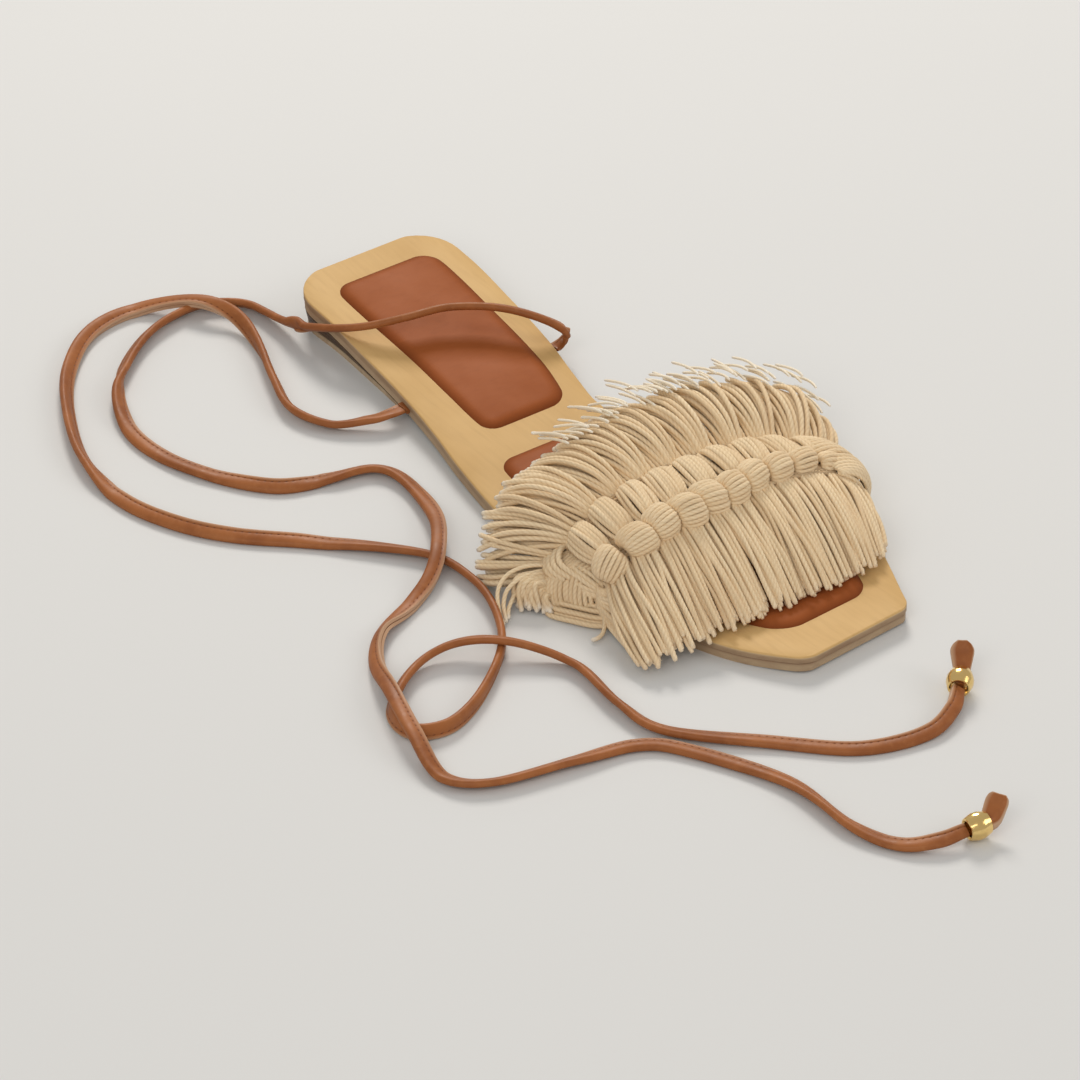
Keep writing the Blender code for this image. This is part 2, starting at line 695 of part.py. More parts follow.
def make_tie(name, side, route, collection):
    """One free tie as a round tube, from the strap's end to its bead. Gives its end and heading."""
    overhang = TIE_OVERHANG + CLEARANCE
    lateral, medial = edges(TIE_STATION)
    level = board_top(TIE_STATION) - BOARD_THICK - CLEARANCE - TIE_STRAP_THICK / 2
    start = place(lateral - overhang if side == 0 else medial + overhang, TIE_STATION, level)
    points = smooth_route([start] + [route_place(point) for point in route])
    curve = bpy.data.curves.new(name, "CURVE")
    curve.dimensions = "3D"
    spline = curve.splines.new("POLY")
    spline.points.add(len(points) - 1)
    for spot, point in zip(spline.points, points):
        spot.co = (*point, 1.0)
    curve.bevel_depth = TIE_DIAMETER / 2
    curve.bevel_resolution = 2
    curve.render_resolution_u = 0
    curve.use_fill_caps = True
    add_object(name, curve, "tie leather", collection)
    return points[-1], (points[-1] - points[-2]).normalized()


def make_bead(name, end, direction, collection):
    """A turned bead with flat ends, just past the tie's end. Gives the middle of its far face."""
    radius = BEAD_DIAMETER / 2
    half = math.sqrt(BEAD_DIAMETER**2 - BEAD_HOLE**2) / 2
    centre = end + direction * (half + CLEARANCE)
    edge = math.asin(half / radius)
    profile = [Vector((0.0, 0.0, half))]
    for i in range(7):
        angle = edge * (1 - i / 3)
        profile.append(Vector((radius * math.cos(angle), 0.0, radius * math.sin(angle))))
    profile.append(Vector((0.0, 0.0, -half)))
    mesh = bpy.data.meshes.new(name)
    mesh.from_pydata(profile, [(i, i + 1) for i in range(len(profile) - 1)], [])
    bead = add_object(name, mesh, "gold", collection)
    turn = bead.modifiers.new("Turned", "SCREW")
    turn.steps = 16
    turn.render_steps = 16
    turn.use_merge_vertices = True
    turn.merge_threshold = 0.00001
    turn.use_smooth_shade = True
    bead.location = centre
    bead.rotation_euler = direction.to_track_quat("Z", "Y").to_euler()
    return centre + direction * half


def make_knot(name, face, direction, collection):
    """The folded leather end beyond the bead: a soft lump, narrow at the bead, lying down to the floor.

    Its cage is larger than the lump by KNOT_CAGE, because subdivision draws a cage in.
    """
    heading = Vector((direction.x, direction.y, -KNOT_DROP)).normalized()
    bm = bmesh.new()
    bmesh.ops.create_cube(bm, size=1.0)
    for vert in bm.verts:
        wide = KNOT_CAGE if vert.co.x > 0 else KNOT_CAGE * BEAD_HOLE / KNOT_WIDTH
        vert.co.x *= KNOT_LENGTH * KNOT_CAGE
        vert.co.y *= KNOT_WIDTH * wide
        vert.co.z *= KNOT_THICK * wide
    mesh = bpy.data.meshes.new(name)
    bm.to_mesh(mesh)
    bm.free()
    knot = add_object(name, mesh, "tie leather", collection)
    soft = knot.modifiers.new("Soft", "SUBSURF")
    soft.levels = 2
    soft.render_levels = 2
    smooth_shade(mesh, 180.0)
    tilt = KNOT_DROP * BEAD_HOLE
    knot.location = face + direction * CLEARANCE + heading * (KNOT_LENGTH / 2 + tilt)
    knot.rotation_euler = heading.to_track_quat("X", "Z").to_euler()


def clear_scene():
    """Removes whatever the file starts with."""
    for item in list(bpy.data.objects):
        bpy.data.objects.remove(item, do_unlink=True)


def main():
    """Builds the shoe, its cutters apart."""
    clear_scene()
    shoe = bpy.data.collections.new("Fringe sandal")
    cutters = bpy.data.collections.new("Cutters")
    bpy.context.scene.collection.children.link(shoe)
    bpy.context.scene.collection.children.link(cutters)

    board = sole_sheet("footbed_board", 0.0, 0.0, BOARD_THICK, "board", shoe)
    outsole_drop = BOARD_THICK + CLEARANCE
    outsole = sole_sheet("outsole", outsole_drop, OUTSOLE_INSET, OUTSOLE_THICK, "sole", shoe)
    heel_size = (HEEL_PAD_START, HEEL_PAD_LENGTH, HEEL_PAD_WIDTH)
    forefoot_size = (FOREFOOT_PAD_START, FOREFOOT_PAD_LENGTH, FOREFOOT_PAD_WIDTH)
    cut(board, make_pad("heel_pad", HEEL_PAD_PLAN, *heel_size, shoe, cutters))
    cut(board, make_pad("forefoot_pad", FOREFOOT_PAD_PLAN, *forefoot_size, shoe, cutters))
    make_heel(shoe)

    strap = strap_mesh("tie_crossing", 0.0, 0.0, TIE_OVERHANG)
    add_object("tie_crossing", strap, "tie leather", shoe)
    smooth_shade(strap)
    channel = strap_mesh("tie channel", CLEARANCE, OUTSOLE_THICK, 4 * TIE_OVERHANG)
    cut(outsole, add_cutter("tie channel", channel, cutters))

    make_band(shoe)
    cut(outsole, add_cutter("lateral pocket", pocket_mesh(0), cutters))
    cut(outsole, add_cutter("medial pocket", pocket_mesh(1), cutters))
    make_fringe(
        "fringe_toe", 1.0, TOE_TIPS, TOE_LOCK, TOE_CORD_LENGTH, TOE_FRINGE_THICK, TOE_LIFT, shoe
    )
    make_fringe(
        "fringe_heel", -1.0, HEEL_TIPS, HEEL_LOCK, HEEL_CORD_LENGTH, HEEL_FRINGE_THICK, HEEL_LIFT, shoe
    )

    for side, route, ending in ((0, LATERAL_ROUTE, "lateral"), (1, MEDIAL_ROUTE, "medial")):
        end, heading = make_tie("tie_" + ending, side, route, shoe)
        face = make_bead("bead_" + ending, end, heading, shoe)
        make_knot("knot_" + ending, face, heading, shoe)


main()
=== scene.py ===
"""Looks of a right-foot fringe sandal with long leather ties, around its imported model.

Metres, +Z up, toe towards -Y, inner (medial) side towards +X, floor at z = 0.
Inside the functions a place on the shoe is given as x, across the shoe from the axis of the
last, and s, the distance from the back of the heel towards the toe.
"""

import math
import random

import bpy
import numpy as np
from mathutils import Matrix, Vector


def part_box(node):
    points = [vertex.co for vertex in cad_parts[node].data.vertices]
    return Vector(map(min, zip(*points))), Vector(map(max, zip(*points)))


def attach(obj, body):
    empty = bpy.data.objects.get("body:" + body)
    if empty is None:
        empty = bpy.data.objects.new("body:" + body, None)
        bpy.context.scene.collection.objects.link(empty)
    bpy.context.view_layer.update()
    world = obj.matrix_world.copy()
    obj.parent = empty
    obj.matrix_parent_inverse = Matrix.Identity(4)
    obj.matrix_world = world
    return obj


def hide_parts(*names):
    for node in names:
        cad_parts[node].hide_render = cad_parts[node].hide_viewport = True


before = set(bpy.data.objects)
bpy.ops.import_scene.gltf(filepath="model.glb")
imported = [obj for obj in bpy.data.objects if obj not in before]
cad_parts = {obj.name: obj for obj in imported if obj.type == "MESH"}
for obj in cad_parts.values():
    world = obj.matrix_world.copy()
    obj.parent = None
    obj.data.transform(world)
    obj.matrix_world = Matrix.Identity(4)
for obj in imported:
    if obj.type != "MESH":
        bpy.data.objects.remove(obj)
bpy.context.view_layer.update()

MM = 0.001
FLOOR_GAP = 0.0001

# The model's own sizes
CLEARANCE = 0.0003
SOLE_LENGTH = 0.250
BALL_WIDTH = 0.090
BOARD_THICK = 0.0024
OUTSOLE_THICK = 0.0026
OUTSOLE_INSET = 0.0004
HEEL_HEIGHT = 0.0135
HEEL_CORNER = 0.014
TOE_CORNER = 0.0035
TOE_SPRING = 0.0010
TOE_SLANT = 0.09
HEEL_BLOCK_LENGTH = 0.066
HEEL_BREAST_CORNER = 0.001
HEEL_TAPER = 0.0016
TOP_LIFT_THICK = 0.0016
HEEL_PAD = (0.010, 0.089, 0.039)
FOREFOOT_PAD = (0.112, 0.124, 0.065)
PAD_RISE = 0.0017
PAD_SINK = 0.0006
PAD_ROUNDING = 0.0050
PAD_FULLNESS = 2.2
PAD_CORNER = 0.0060
PAD_CROWN = 0.0005
PAD_CROWN_REACH = 0.012
# Reach of the painted shade that darkens each pad towards its edge
PAD_RIM_SHADE = 0.0042
BAND_THICK = 0.0034
BAND_CROWN = 0.0155
BAND_HALF_CROWN = 0.0125
BAND_HALF_FOOT = 0.0075
BAND_STATION_LATERAL = 0.183
BAND_STATION_MEDIAL = 0.187
BAND_STATION_CROWN = -0.006
BAND_SQUARENESS = 2.5
BAND_BULGE = 0.8
TOE_CORD_LENGTH = 0.039
HEEL_CORD_LENGTH = 0.042
TOE_FRINGE_THICK = 0.0042
HEEL_FRINGE_THICK = 0.0078
FRINGE_SIDE = 0.003
FRINGE_BEND = 0.42
TOE_LIFT = 0.10
HEEL_LIFT = 0.26
TIE_STATION = 0.0695
TIE_STRAP_THICK = 0.0012
TIE_OVERHANG = 0.0012
BEAD_DIAMETER = 0.0082
AXIS_X = 0.0041
TOE_REACH = 0.00135
MIDDLE = (SOLE_LENGTH + TOE_REACH) / 2
ARCH_STEPS = 240

# Plan of the board: share of SOLE_LENGTH, medial and lateral edges as shares of BALL_WIDTH
PLAN = [
    (0.00, 0.317, 0.311), (0.08, 0.317, 0.311), (0.18, 0.292, 0.331), (0.28, 0.251, 0.361),
    (0.36, 0.200, 0.400), (0.42, 0.170, 0.439), (0.48, 0.185, 0.472), (0.54, 0.247, 0.500),
    (0.60, 0.339, 0.518), (0.66, 0.428, 0.523), (0.72, 0.478, 0.514), (0.77, 0.478, 0.494),
    (0.83, 0.439, 0.456), (0.89, 0.378, 0.400), (0.93, 0.333, 0.347), (0.97, 0.283, 0.272),
    (1.00, 0.246, 0.208),
]
# Side view: share of SOLE_LENGTH, share of the heel's rise over the forefoot
RISE = [
    (0.00, 1.000), (0.14, 0.600), (0.264, 0.350), (0.40, 0.125), (0.54, 0.010), (0.60, 0.000),
    (1.00, 0.000),
]
# Pads: share of the pad's length, medial and lateral edges as shares of its width
HEEL_PAD_PLAN = [
    (0.00, 0.500, 0.460), (0.10, 0.528, 0.478), (0.45, 0.470, 0.500), (0.75, 0.385, 0.550),
    (0.90, 0.300, 0.578), (1.00, 0.215, 0.585),
]
FOREFOOT_PAD_PLAN = [
    (0.00, -0.030, 0.460), (0.07, 0.040, 0.485), (0.16, 0.140, 0.500), (0.27, 0.255, 0.520),
    (0.39, 0.375, 0.530), (0.53, 0.460, 0.525), (0.67, 0.460, 0.490), (0.83, 0.385, 0.420),
    (0.94, 0.320, 0.310), (1.00, 0.280, 0.225),
]
BAND_WALL = [(0.00, 0.50), (0.06, 0.85), (0.14, 1.00), (0.86, 1.00), (0.94, 0.85), (1.00, 0.50)]
# Tips of the cords from their roots: share of the arch, then outward, along and upward shares
TOE_TIPS = [
    (0.00, -0.32, 0.82, -0.10), (0.15, -0.26, 0.90, -0.30), (0.28, -0.20, 0.92, -0.34),
    (0.50, -0.16, 0.93, -0.36), (0.72, -0.17, 0.90, -0.35), (0.85, -0.21, 0.82, -0.30),
    (1.00, -0.30, 0.66, -0.12),
]
HEEL_TIPS = [
    (0.00, -0.50, -0.46, -0.20), (0.15, -0.32, -0.72, -0.02), (0.30, -0.14, -0.86, -0.08),
    (0.50, 0.02, -0.94, -0.02), (0.70, 0.14, -0.92, 0.04), (0.85, 0.26, -0.84, 0.08),
    (1.00, 0.36, -0.62, 0.10),
]
TOE_LOCK = [(0.0, 0.70), (0.30, 1.00), (0.70, 0.85), (1.0, 0.45)]
HEEL_LOCK = [(0.0, 0.38), (0.30, 0.95), (0.65, 1.00), (1.0, 0.40)]

# Free routes of the ties on the floor, as in the model: x, s and z in millimetres
LATERAL_ROUTE = [
    (-38.0, 69.4, 4.5), (-44.0, 67.4, 3.6), (-54.4, 60.0, 2.5), (-58.8, 46.0, 2.4),
    (-53.2, 28.6, 2.4), (-46.0, 10.8, 2.6), (-43.5, -4.1, 4.6), (-47.0, -14.5, 6.8),
    (-53.5, -23.5, 5.4), (-66.0, -30.5, 2.5), (-84.1, -27.0, 2.4), (-102.0, -12.0, 2.4),
    (-115.6, 8.2, 2.4), (-126.0, 32.0, 2.4), (-128.5, 56.2, 2.4), (-123.1, 76.1, 2.4),
    (-112.8, 92.4, 2.4), (-96.5, 108.1, 2.4), (-81.0, 124.5, 2.4), (-71.5, 137.7, 2.4),
    (-69.6, 151.5, 2.4), (-72.0, 166.4, 2.4), (-80.1, 183.3, 2.4), (-91.1, 195.3, 2.4),
    (-107.4, 207.0, 2.4), (-121.0, 212.0, 2.4), (-130.8, 207.5, 2.4), (-129.5, 196.5, 2.4),
    (-118.8, 186.6, 2.4), (-107.5, 181.0, 3.4), (-97.0, 181.6, 5.4), (-88.0, 187.5, 6.8),
    (-78.8, 196.0, 5.2), (-72.0, 209.0, 2.6), (-74.0, 232.0, 2.4), (-71.2, 251.0, 2.4),
    (-49.4, 273.7, 2.4), (-31.0, 291.5, 2.4), (-11.0, 297.4, 2.6), (1.6, 293.6, 3.5),
    (8.4, 287.8, 4.1),
]
MEDIAL_ROUTE = [
    (25.4, 69.5, 4.7), (27.0, 70.2, 5.9), (27.7, 71.6, 9.0), (25.6, 71.6, 12.6),
    (20.6, 67.2, 15.9), (14.6, 60.6, 17.8), (8.2, 54.5, 18.4), (-2.0, 48.1, 18.5), (-13.6, 44.2, 17.4),
    (-24.0, 37.6, 14.8), (-30.6, 29.0, 12.2), (-33.0, 17.0, 8.0), (-33.0, 5.0, 4.4),
    (-34.4, -10.0, 2.5), (-44.0, -18.6, 2.4), (-56.0, -19.4, 2.4), (-70.6, -14.8, 2.4),
    (-86.4, -3.7, 2.4), (-98.6, 10.5, 2.4), (-105.6, 31.0, 2.4), (-102.0, 53.8, 2.4),
    (-88.5, 77.0, 2.4), (-72.0, 84.0, 2.4), (-57.5, 88.6, 2.4), (-54.3, 101.0, 2.6),
    (-60.0, 122.5, 5.2), (-70.4, 138.5, 6.8), (-80.0, 147.6, 4.8), (-92.0, 153.6, 2.5),
    (-108.5, 161.5, 2.4), (-119.0, 174.0, 3.4), (-126.0, 191.0, 6.8), (-133.0, 211.5, 6.8),
    (-136.8, 231.0, 2.8), (-127.0, 242.0, 2.4), (-101.3, 247.6, 2.4), (-82.0, 251.6, 2.4),
    (-71.4, 262.6, 2.4), (-58.6, 292.0, 2.4), (-57.6, 320.0, 2.4), (-52.0, 335.5, 2.5),
    (-43.2, 342.2, 3.4), (-34.4, 344.0, 4.1),
]
ROUTE_FLOOR = 2.4

# How far the strap is turned up on its edge: share of the tie's length, degrees
LATERAL_ROLL = [
    (0.00, 180), (0.02, 152), (0.04, 140), (0.07, 118), (0.10, 106), (0.13, 55), (0.16, 5),
    (0.20, 20), (0.24, 35), (0.28, 52), (0.32, 54), (0.36, -18), (0.40, -30), (0.44, -15), (0.47, 16),
    (0.50, 34), (0.54, 60), (0.60, 98), (0.64, 84), (0.68, 68), (0.72, 50), (0.75, 30), (0.78, 36),
    (0.82, 50), (0.85, 28), (0.90, 3), (0.95, -12), (1.00, -28),
]
MEDIAL_ROLL = [
    (0.00, 175), (0.03, 150), (0.10, 146), (0.145, 146), (0.153, 92), (0.162, 138), (0.20, 140),
    (0.24, 132), (0.28, 130), (0.30, 62), (0.32, 25), (0.34, -8), (0.38, 5), (0.42, -28), (0.46, 30),
    (0.49, 25), (0.52, 0), (0.57, 10), (0.60, -12), (0.62, -48), (0.66, -25), (0.70, 3), (0.73, 18),
    (0.76, 33), (0.79, 32), (0.82, 10), (0.87, 2), (0.90, 15), (0.93, 42), (0.96, 10), (1.00, -28),
]

# Loose strands at the outer end of the band: x, s and z in millimetres
LOOSE_STRANDS = [
    [(-51.0, 172.5, 8.5), (-54.3, 171.8, 10.0), (-58.8, 170.6, 11.5), (-62.9, 168.7, 11.0),
     (-67.1, 167.5, 9.0), (-71.2, 169.3, 6.0), (-74.1, 174.3, 2.0), (-75.5, 178.2, 0.9)],
    [(-50.0, 172.8, 7.5), (-54.4, 172.0, 9.0), (-62.0, 171.7, 10.0), (-68.1, 170.9, 7.5),
     (-71.3, 172.4, 4.0), (-74.0, 177.3, 0.9)],
    [(-51.0, 174.0, 6.8), (-55.9, 173.0, 7.5), (-60.0, 171.6, 8.0), (-64.8, 171.3, 6.0),
     (-70.1, 173.6, 3.0), (-72.5, 176.3, 0.9)],
    [(-48.5, 191.5, 3.4), (-49.9, 193.6, 3.4), (-52.8, 197.6, 3.0), (-55.3, 200.1, 2.0),
     (-57.5, 200.5, 1.2), (-59.4, 199.9, 0.9)],
]

# Section of the folded strap: across from its open edge to its fold, and through, as shares of the
# half sizes, then 1 on a raw edge and 1 on the seam
STRAP_SECTION = [
    (-1.00, 0.86, 1, 0), (-0.90, 1.00, 0.6, 0), (-0.55, 1.00, 0, 0), (-0.44, 0.90, 0, 1),
    (-0.33, 1.00, 0, 0), (0.25, 1.04, 0, 0), (0.68, 0.93, 0, 0), (0.92, 0.60, 0, 0),
    (1.00, 0.00, 0, 0), (0.92, -0.60, 0, 0), (0.68, -0.93, 0, 0), (0.25, -1.04, 0, 0),
    (-0.33, -1.00, 0, 0), (-0.44, -0.90, 0, 1), (-0.55, -1.00, 0, 0), (-0.90, -1.00, 0.6, 0),
    (-1.00, -0.86, 1, 0), (-0.98, -0.12, 1, 0), (-0.80, 0.00, 0, 0), (-0.98, 0.12, 1, 0),
]
STRAP_HALF_WIDTH = 0.0024
STRAP_HALF_THICK = 0.00118
STRAP_SPACING = 0.00055
STITCH_RINGS = 4
STITCH_DEPTH = 0.10

# Beads, in millimetres
BEAD_HALF_LENGTH = 3.4
BEAD_BORE = 2.45

# Cotton cord of three plies: angle in degrees, share of its radius, height on its ply (0 in a groove, where
# the colour takes painted shade)
PLY_SECTION = [(40 * i, 0.935 if i % 3 == 0 else 1.0, 0.0 if i % 3 == 0 else 1.0) for i in range(9)]
PLAIN_SECTION = [(60 * i, 1.0, 0.8) for i in range(6)]
CORD_RADIUS = 0.00080
CORD_SPACING = 0.00055
CORD_TURN = math.radians(40)
CORD_TAPER = 0.72
START_TURN = 6.0
PALE_RINGS = 9
UNCUT = (0.0, 0.0)


def curve_value(rows, share, column=1):
    """Value of one column at a share, on a smooth curve that never overshoots its rows."""
    knots = [row[0] for row in rows]
    values = [row[column] for row in rows]
    share = min(max(share, knots[0]), knots[-1])
    slopes = [(v1 - v0) / (k1 - k0) for k0, k1, v0, v1 in zip(knots, knots[1:], values, values[1:])]

    def tangent(i):
        if i == 0 or i == len(rows) - 1:
            return slopes[0] if i == 0 else slopes[-1]
        before, after = slopes[i - 1], slopes[i]
        return 0.0 if before * after <= 0 else 2 * before * after / (before + after)

    i = max(j for j in range(len(rows) - 1) if knots[j] <= share)
    width = knots[i + 1] - knots[i]
    t = (share - knots[i]) / width
    return (
        values[i] * (1 + 2 * t) * (1 - t) ** 2
        + values[i + 1] * t * t * (3 - 2 * t)
        + width * t * (1 - t) * (tangent(i) * (1 - t) - tangent(i + 1) * t)
    )


def corner_inset(distance, radius):
    """How far a round corner cuts into a side at a distance from the end."""
    if distance >= radius:
        return 0.0
    return radius - math.sqrt(radius**2 - (radius - max(distance, 0.0)) ** 2)


def edges(s):
    """Lateral and medial x of the board's outline, with its round heel and toe corners."""
    share = s / SOLE_LENGTH
    corner = corner_inset(s, HEEL_CORNER) + corner_inset(SOLE_LENGTH - s, TOE_CORNER)
    medial = curve_value(PLAN, share, 1) * BALL_WIDTH - corner
    lateral = -curve_value(PLAN, share, 2) * BALL_WIDTH + corner
    return lateral, medial


def board_top(s):
    """Height of the board's top face."""
    forefoot = OUTSOLE_THICK + CLEARANCE + BOARD_THICK
    share = s / SOLE_LENGTH
    spring = TOE_SPRING * max(0.0, (share - 0.9) / 0.1) ** 2
    return forefoot + (HEEL_HEIGHT - forefoot) * curve_value(RISE, share) + spring


def place(x, s, z):
    """A place on the shoe, in the part's frame."""
    return Vector((AXIS_X + x, MIDDLE - s, z))


def slanted(x, s):
    """The toe's front edge is a little further forward on the lateral side."""
    t = min(max((s / SOLE_LENGTH - 0.8) / 0.2, 0.0), 1.0)
    return s - TOE_SLANT * x * t * t * (3 - 2 * t)


def route_place(point):
    """A route's own point, given in millimetres on the shoe, in the part's frame."""
    return place(*(value * MM for value in point))


# Materials


class Shader:
    """A material's node tree, built up from its Principled shader."""

    def __init__(self, name, roughness=0.5, **fixed):
        self.material = bpy.data.materials.new(name)
        self.material.use_nodes = True
        self.tree = self.material.node_tree
        self.principled = self.tree.nodes["Principled BSDF"]
        self.principled.inputs["Roughness"].default_value = roughness
        for label, value in fixed.items():
            self.principled.inputs[label.replace("_", " ")].default_value = value
        self.spot = self.tree.nodes.new("ShaderNodeTexCoord").outputs["Object"]

    def node(self, kind, **values):
        made = self.tree.nodes.new("ShaderNode" + kind)
        for label, value in values.items():
            setattr(made, label, value)
        return made

    def feed(self, socket, value):
        if isinstance(value, bpy.types.NodeSocket):
            self.tree.links.new(value, socket)
        elif isinstance(value, tuple) and len(value) == 3 and socket.type == "RGBA":
            socket.default_value = (*value, 1.0)
        else:
            socket.default_value = value

    def math(self, operation, *values, clamp=False):
        made = self.node("Math", operation=operation, use_clamp=clamp)
        for socket, value in zip(made.inputs, values):
            self.feed(socket, value)
        return made.outputs[0]

    def noise(self, scale, detail=2.0, roughness=0.5, stretch=None):
        made = self.node("TexNoise")
        spot = self.spot
        if stretch:
            mapping = self.node("Mapping")
            self.feed(mapping.inputs["Vector"], spot)
            mapping.inputs["Scale"].default_value = stretch
            spot = mapping.outputs[0]
        self.feed(made.inputs["Vector"], spot)
        made.inputs["Scale"].default_value = scale
        made.inputs["Detail"].default_value = detail
        made.inputs["Roughness"].default_value = roughness
        return made.outputs[0]

    def span(self, value, low, high, to_low=0.0, to_high=1.0):
        made = self.node("MapRange", interpolation_type="SMOOTHSTEP")
        for socket, part in zip(made.inputs, (value, low, high, to_low, to_high)):
            self.feed(socket, part)
        return made.outputs[0]

    def mix(self, share, first, second, blend="MIX"):
        made = self.node("Mix", data_type="RGBA", blend_type=blend)
        for i, value in ((0, share), (6, first), (7, second)):
            self.feed(made.inputs[i], value)
        return made.outputs[2]

    def attribute(self, name):
        return self.node("Attribute", attribute_name=name).outputs["Fac"]

    def height(self):
        made = self.node("SeparateXYZ")
        self.feed(made.inputs[0], self.spot)
        return made.outputs[2]

    def finish(self, colour, roughness=None, bump=None, depth=0.0001, strength=1.0):
        self.feed(self.principled.inputs["Base Color"], colour)
        if roughness is not None:
            self.feed(self.principled.inputs["Roughness"], roughness)
        if bump is not None:
            made = self.node("Bump")
            made.inputs["Distance"].default_value = depth
            made.inputs["Strength"].default_value = strength
            self.feed(made.inputs["Height"], bump)
            self.feed(self.principled.inputs["Normal"], made.outputs[0])
        return self.material


def cotton(name, light, groove_shade):
    """Undyed cotton: fibres, painted shade in the grooves between the plies, one tone per cord, pale cut
    ends.
    """
    shader = Shader(name, 0.95, Sheen_Weight=0.08, Sheen_Roughness=0.5, Specular_IOR_Level=0.15)
    fibre = shader.noise(1700.0, 3.0, 0.6)
    blotch = shader.noise(90.0, 2.0, 0.5)
    ply = shader.attribute("ply")
    shade = shader.attribute("shade")
    cut = shader.attribute("cut")
    # The ply mask is 0 in the grooves between the plies: painted shade there.
    colour = shader.mix(ply, groove_shade, light)
    # Per-cord shade: a random tone, and painted shade on cords set darker because they lie under others.
    colour = shader.mix(shader.span(shade, 0.0, 1.0, 0.0, 0.50), colour, (0.70, 0.50, 0.285))
    colour = shader.mix(shader.span(blotch, 0.35, 0.75, 0.0, 0.22), colour, (0.78, 0.58, 0.36))
    colour = shader.mix(shader.span(fibre, 0.3, 0.8, 0.0, 0.20), colour, (0.93, 0.85, 0.70))
    colour = shader.mix(shader.span(cut, 0.0, 1.0, 0.0, 0.75), colour, (0.90, 0.86, 0.78))
    return shader.finish(colour, bump=fibre, depth=0.00012, strength=0.6)


def board_wood(name):
    """Smooth pale board: faint cloudy tone and a very fine grain along the shoe."""
    shader = Shader(name, 0.5, Specular_IOR_Level=0.08)
    cloud = shader.noise(22.0, 3.0, 0.55)
    grain = shader.noise(60.0, 4.0, 0.6, stretch=(9.0, 0.7, 9.0))
    colour = shader.mix(shader.span(cloud, 0.3, 0.7), (0.66, 0.44, 0.195), (0.59, 0.38, 0.160))
    colour = shader.mix(shader.span(grain, 0.4, 0.75, 0.0, 0.30), colour, (0.49, 0.31, 0.13))
    roughness = shader.span(cloud, 0.2, 0.8, 0.46, 0.56)
    return shader.finish(colour, roughness, bump=grain, depth=0.00003, strength=0.5)


def board_edge(name, dark, light, rim):
    """Cut and dyed side of the board: brown grey, mottled, with a paler line along its rim."""
    shader = Shader(name, 0.55, Specular_IOR_Level=0.25)
    mottle = shader.noise(140.0, 4.0, 0.6, stretch=(1.0, 1.0, 2.4))
    colour = shader.mix(shader.span(mottle, 0.3, 0.7), dark, light)
    colour = shader.mix(shader.math("POWER", shader.attribute("rim"), 5.0), colour, rim)
    return shader.finish(colour, shader.span(mottle, 0.3, 0.8, 0.5, 0.65), bump=mottle, depth=0.00008)


def pad_leather(name):
    """Smooth dyed leather: fine pores, cloudy tone, painted shade round its rolled edge."""
    shader = Shader(name, 0.5, Specular_IOR_Level=0.04)
    pores = shader.noise(1300.0, 2.0, 0.6)
    cloud = shader.noise(38.0, 3.0, 0.55)
    crease = shader.noise(240.0, 3.0, 0.6, stretch=(1.0, 2.2, 1.0))
    colour = shader.mix(shader.span(cloud, 0.3, 0.7), (0.345, 0.100, 0.030), (0.300, 0.083, 0.023))
    colour = shader.mix(shader.span(crease, 0.45, 0.8, 0.0, 0.22), colour, (0.225, 0.060, 0.018))
    # Painted shade, darkest where the pad rolls down into its window.
    colour = shader.mix(shader.attribute("rim"), colour, (0.130, 0.032, 0.010))
    height = shader.math("ADD", shader.math("MULTIPLY", pores, 0.35), crease)
    roughness = shader.span(cloud, 0.2, 0.8, 0.42, 0.52)
    return shader.finish(colour, roughness, bump=height, depth=0.00006, strength=0.5)


def tie_leather(name):
    """Folded strap leather: brown, streaked along, pale raw edges and dark stitch holes in its seam."""
    shader = Shader(name, 0.5, Specular_IOR_Level=0.2)
    streak = shader.noise(420.0, 3.0, 0.6)
    cloud = shader.noise(60.0, 3.0, 0.6)
    colour = shader.mix(shader.span(cloud, 0.3, 0.7), (0.370, 0.132, 0.042), (0.265, 0.086, 0.026))
    colour = shader.mix(shader.span(streak, 0.45, 0.8, 0.0, 0.35), colour, (0.45, 0.185, 0.070))
    colour = shader.mix(shader.attribute("raw"), colour, (0.52, 0.33, 0.21))
    colour = shader.mix(shader.attribute("stitch"), colour, (0.105, 0.036, 0.018))
    roughness = shader.span(streak, 0.2, 0.8, 0.40, 0.56)
    return shader.finish(colour, roughness, bump=streak, depth=0.00008, strength=0.6)


def stacked_heel(name):
    """Side of a stacked heel: thin dark layers, mottled by staining."""
    shader = Shader(name, 0.48)
    height = shader.height()
    layers = shader.math("FRACT", shader.math("MULTIPLY", height, 1 / 0.0021))
    seam = shader.span(shader.math("ABSOLUTE", shader.math("SUBTRACT", layers, 0.5)), 0.40, 0.5)
    mottle = shader.noise(170.0, 4.0, 0.65, stretch=(1.0, 1.0, 3.0))
    colour = shader.mix(shader.span(mottle, 0.3, 0.7), (0.060, 0.032, 0.018), (0.125, 0.072, 0.040))
    colour = shader.mix(shader.math("MULTIPLY", seam, 0.75), colour, (0.030, 0.016, 0.010))
    roughness = shader.span(mottle, 0.2, 0.8, 0.42, 0.60)
    return shader.finish(colour, roughness, bump=shader.math("SUBTRACT", mottle, seam), depth=0.00012)


def top_lift(name):
    """Pale wearing layer under the heel, slightly scuffed."""
    shader = Shader(name, 0.62)
    scuff = shader.noise(260.0, 4.0, 0.65, stretch=(1.0, 1.0, 0.4))
    colour = shader.mix(shader.span(scuff, 0.35, 0.75), (0.50, 0.39, 0.26), (0.38, 0.28, 0.18))
    return shader.finish(colour, shader.span(scuff, 0.2, 0.8, 0.55, 0.72), bump=scuff, depth=0.00006)


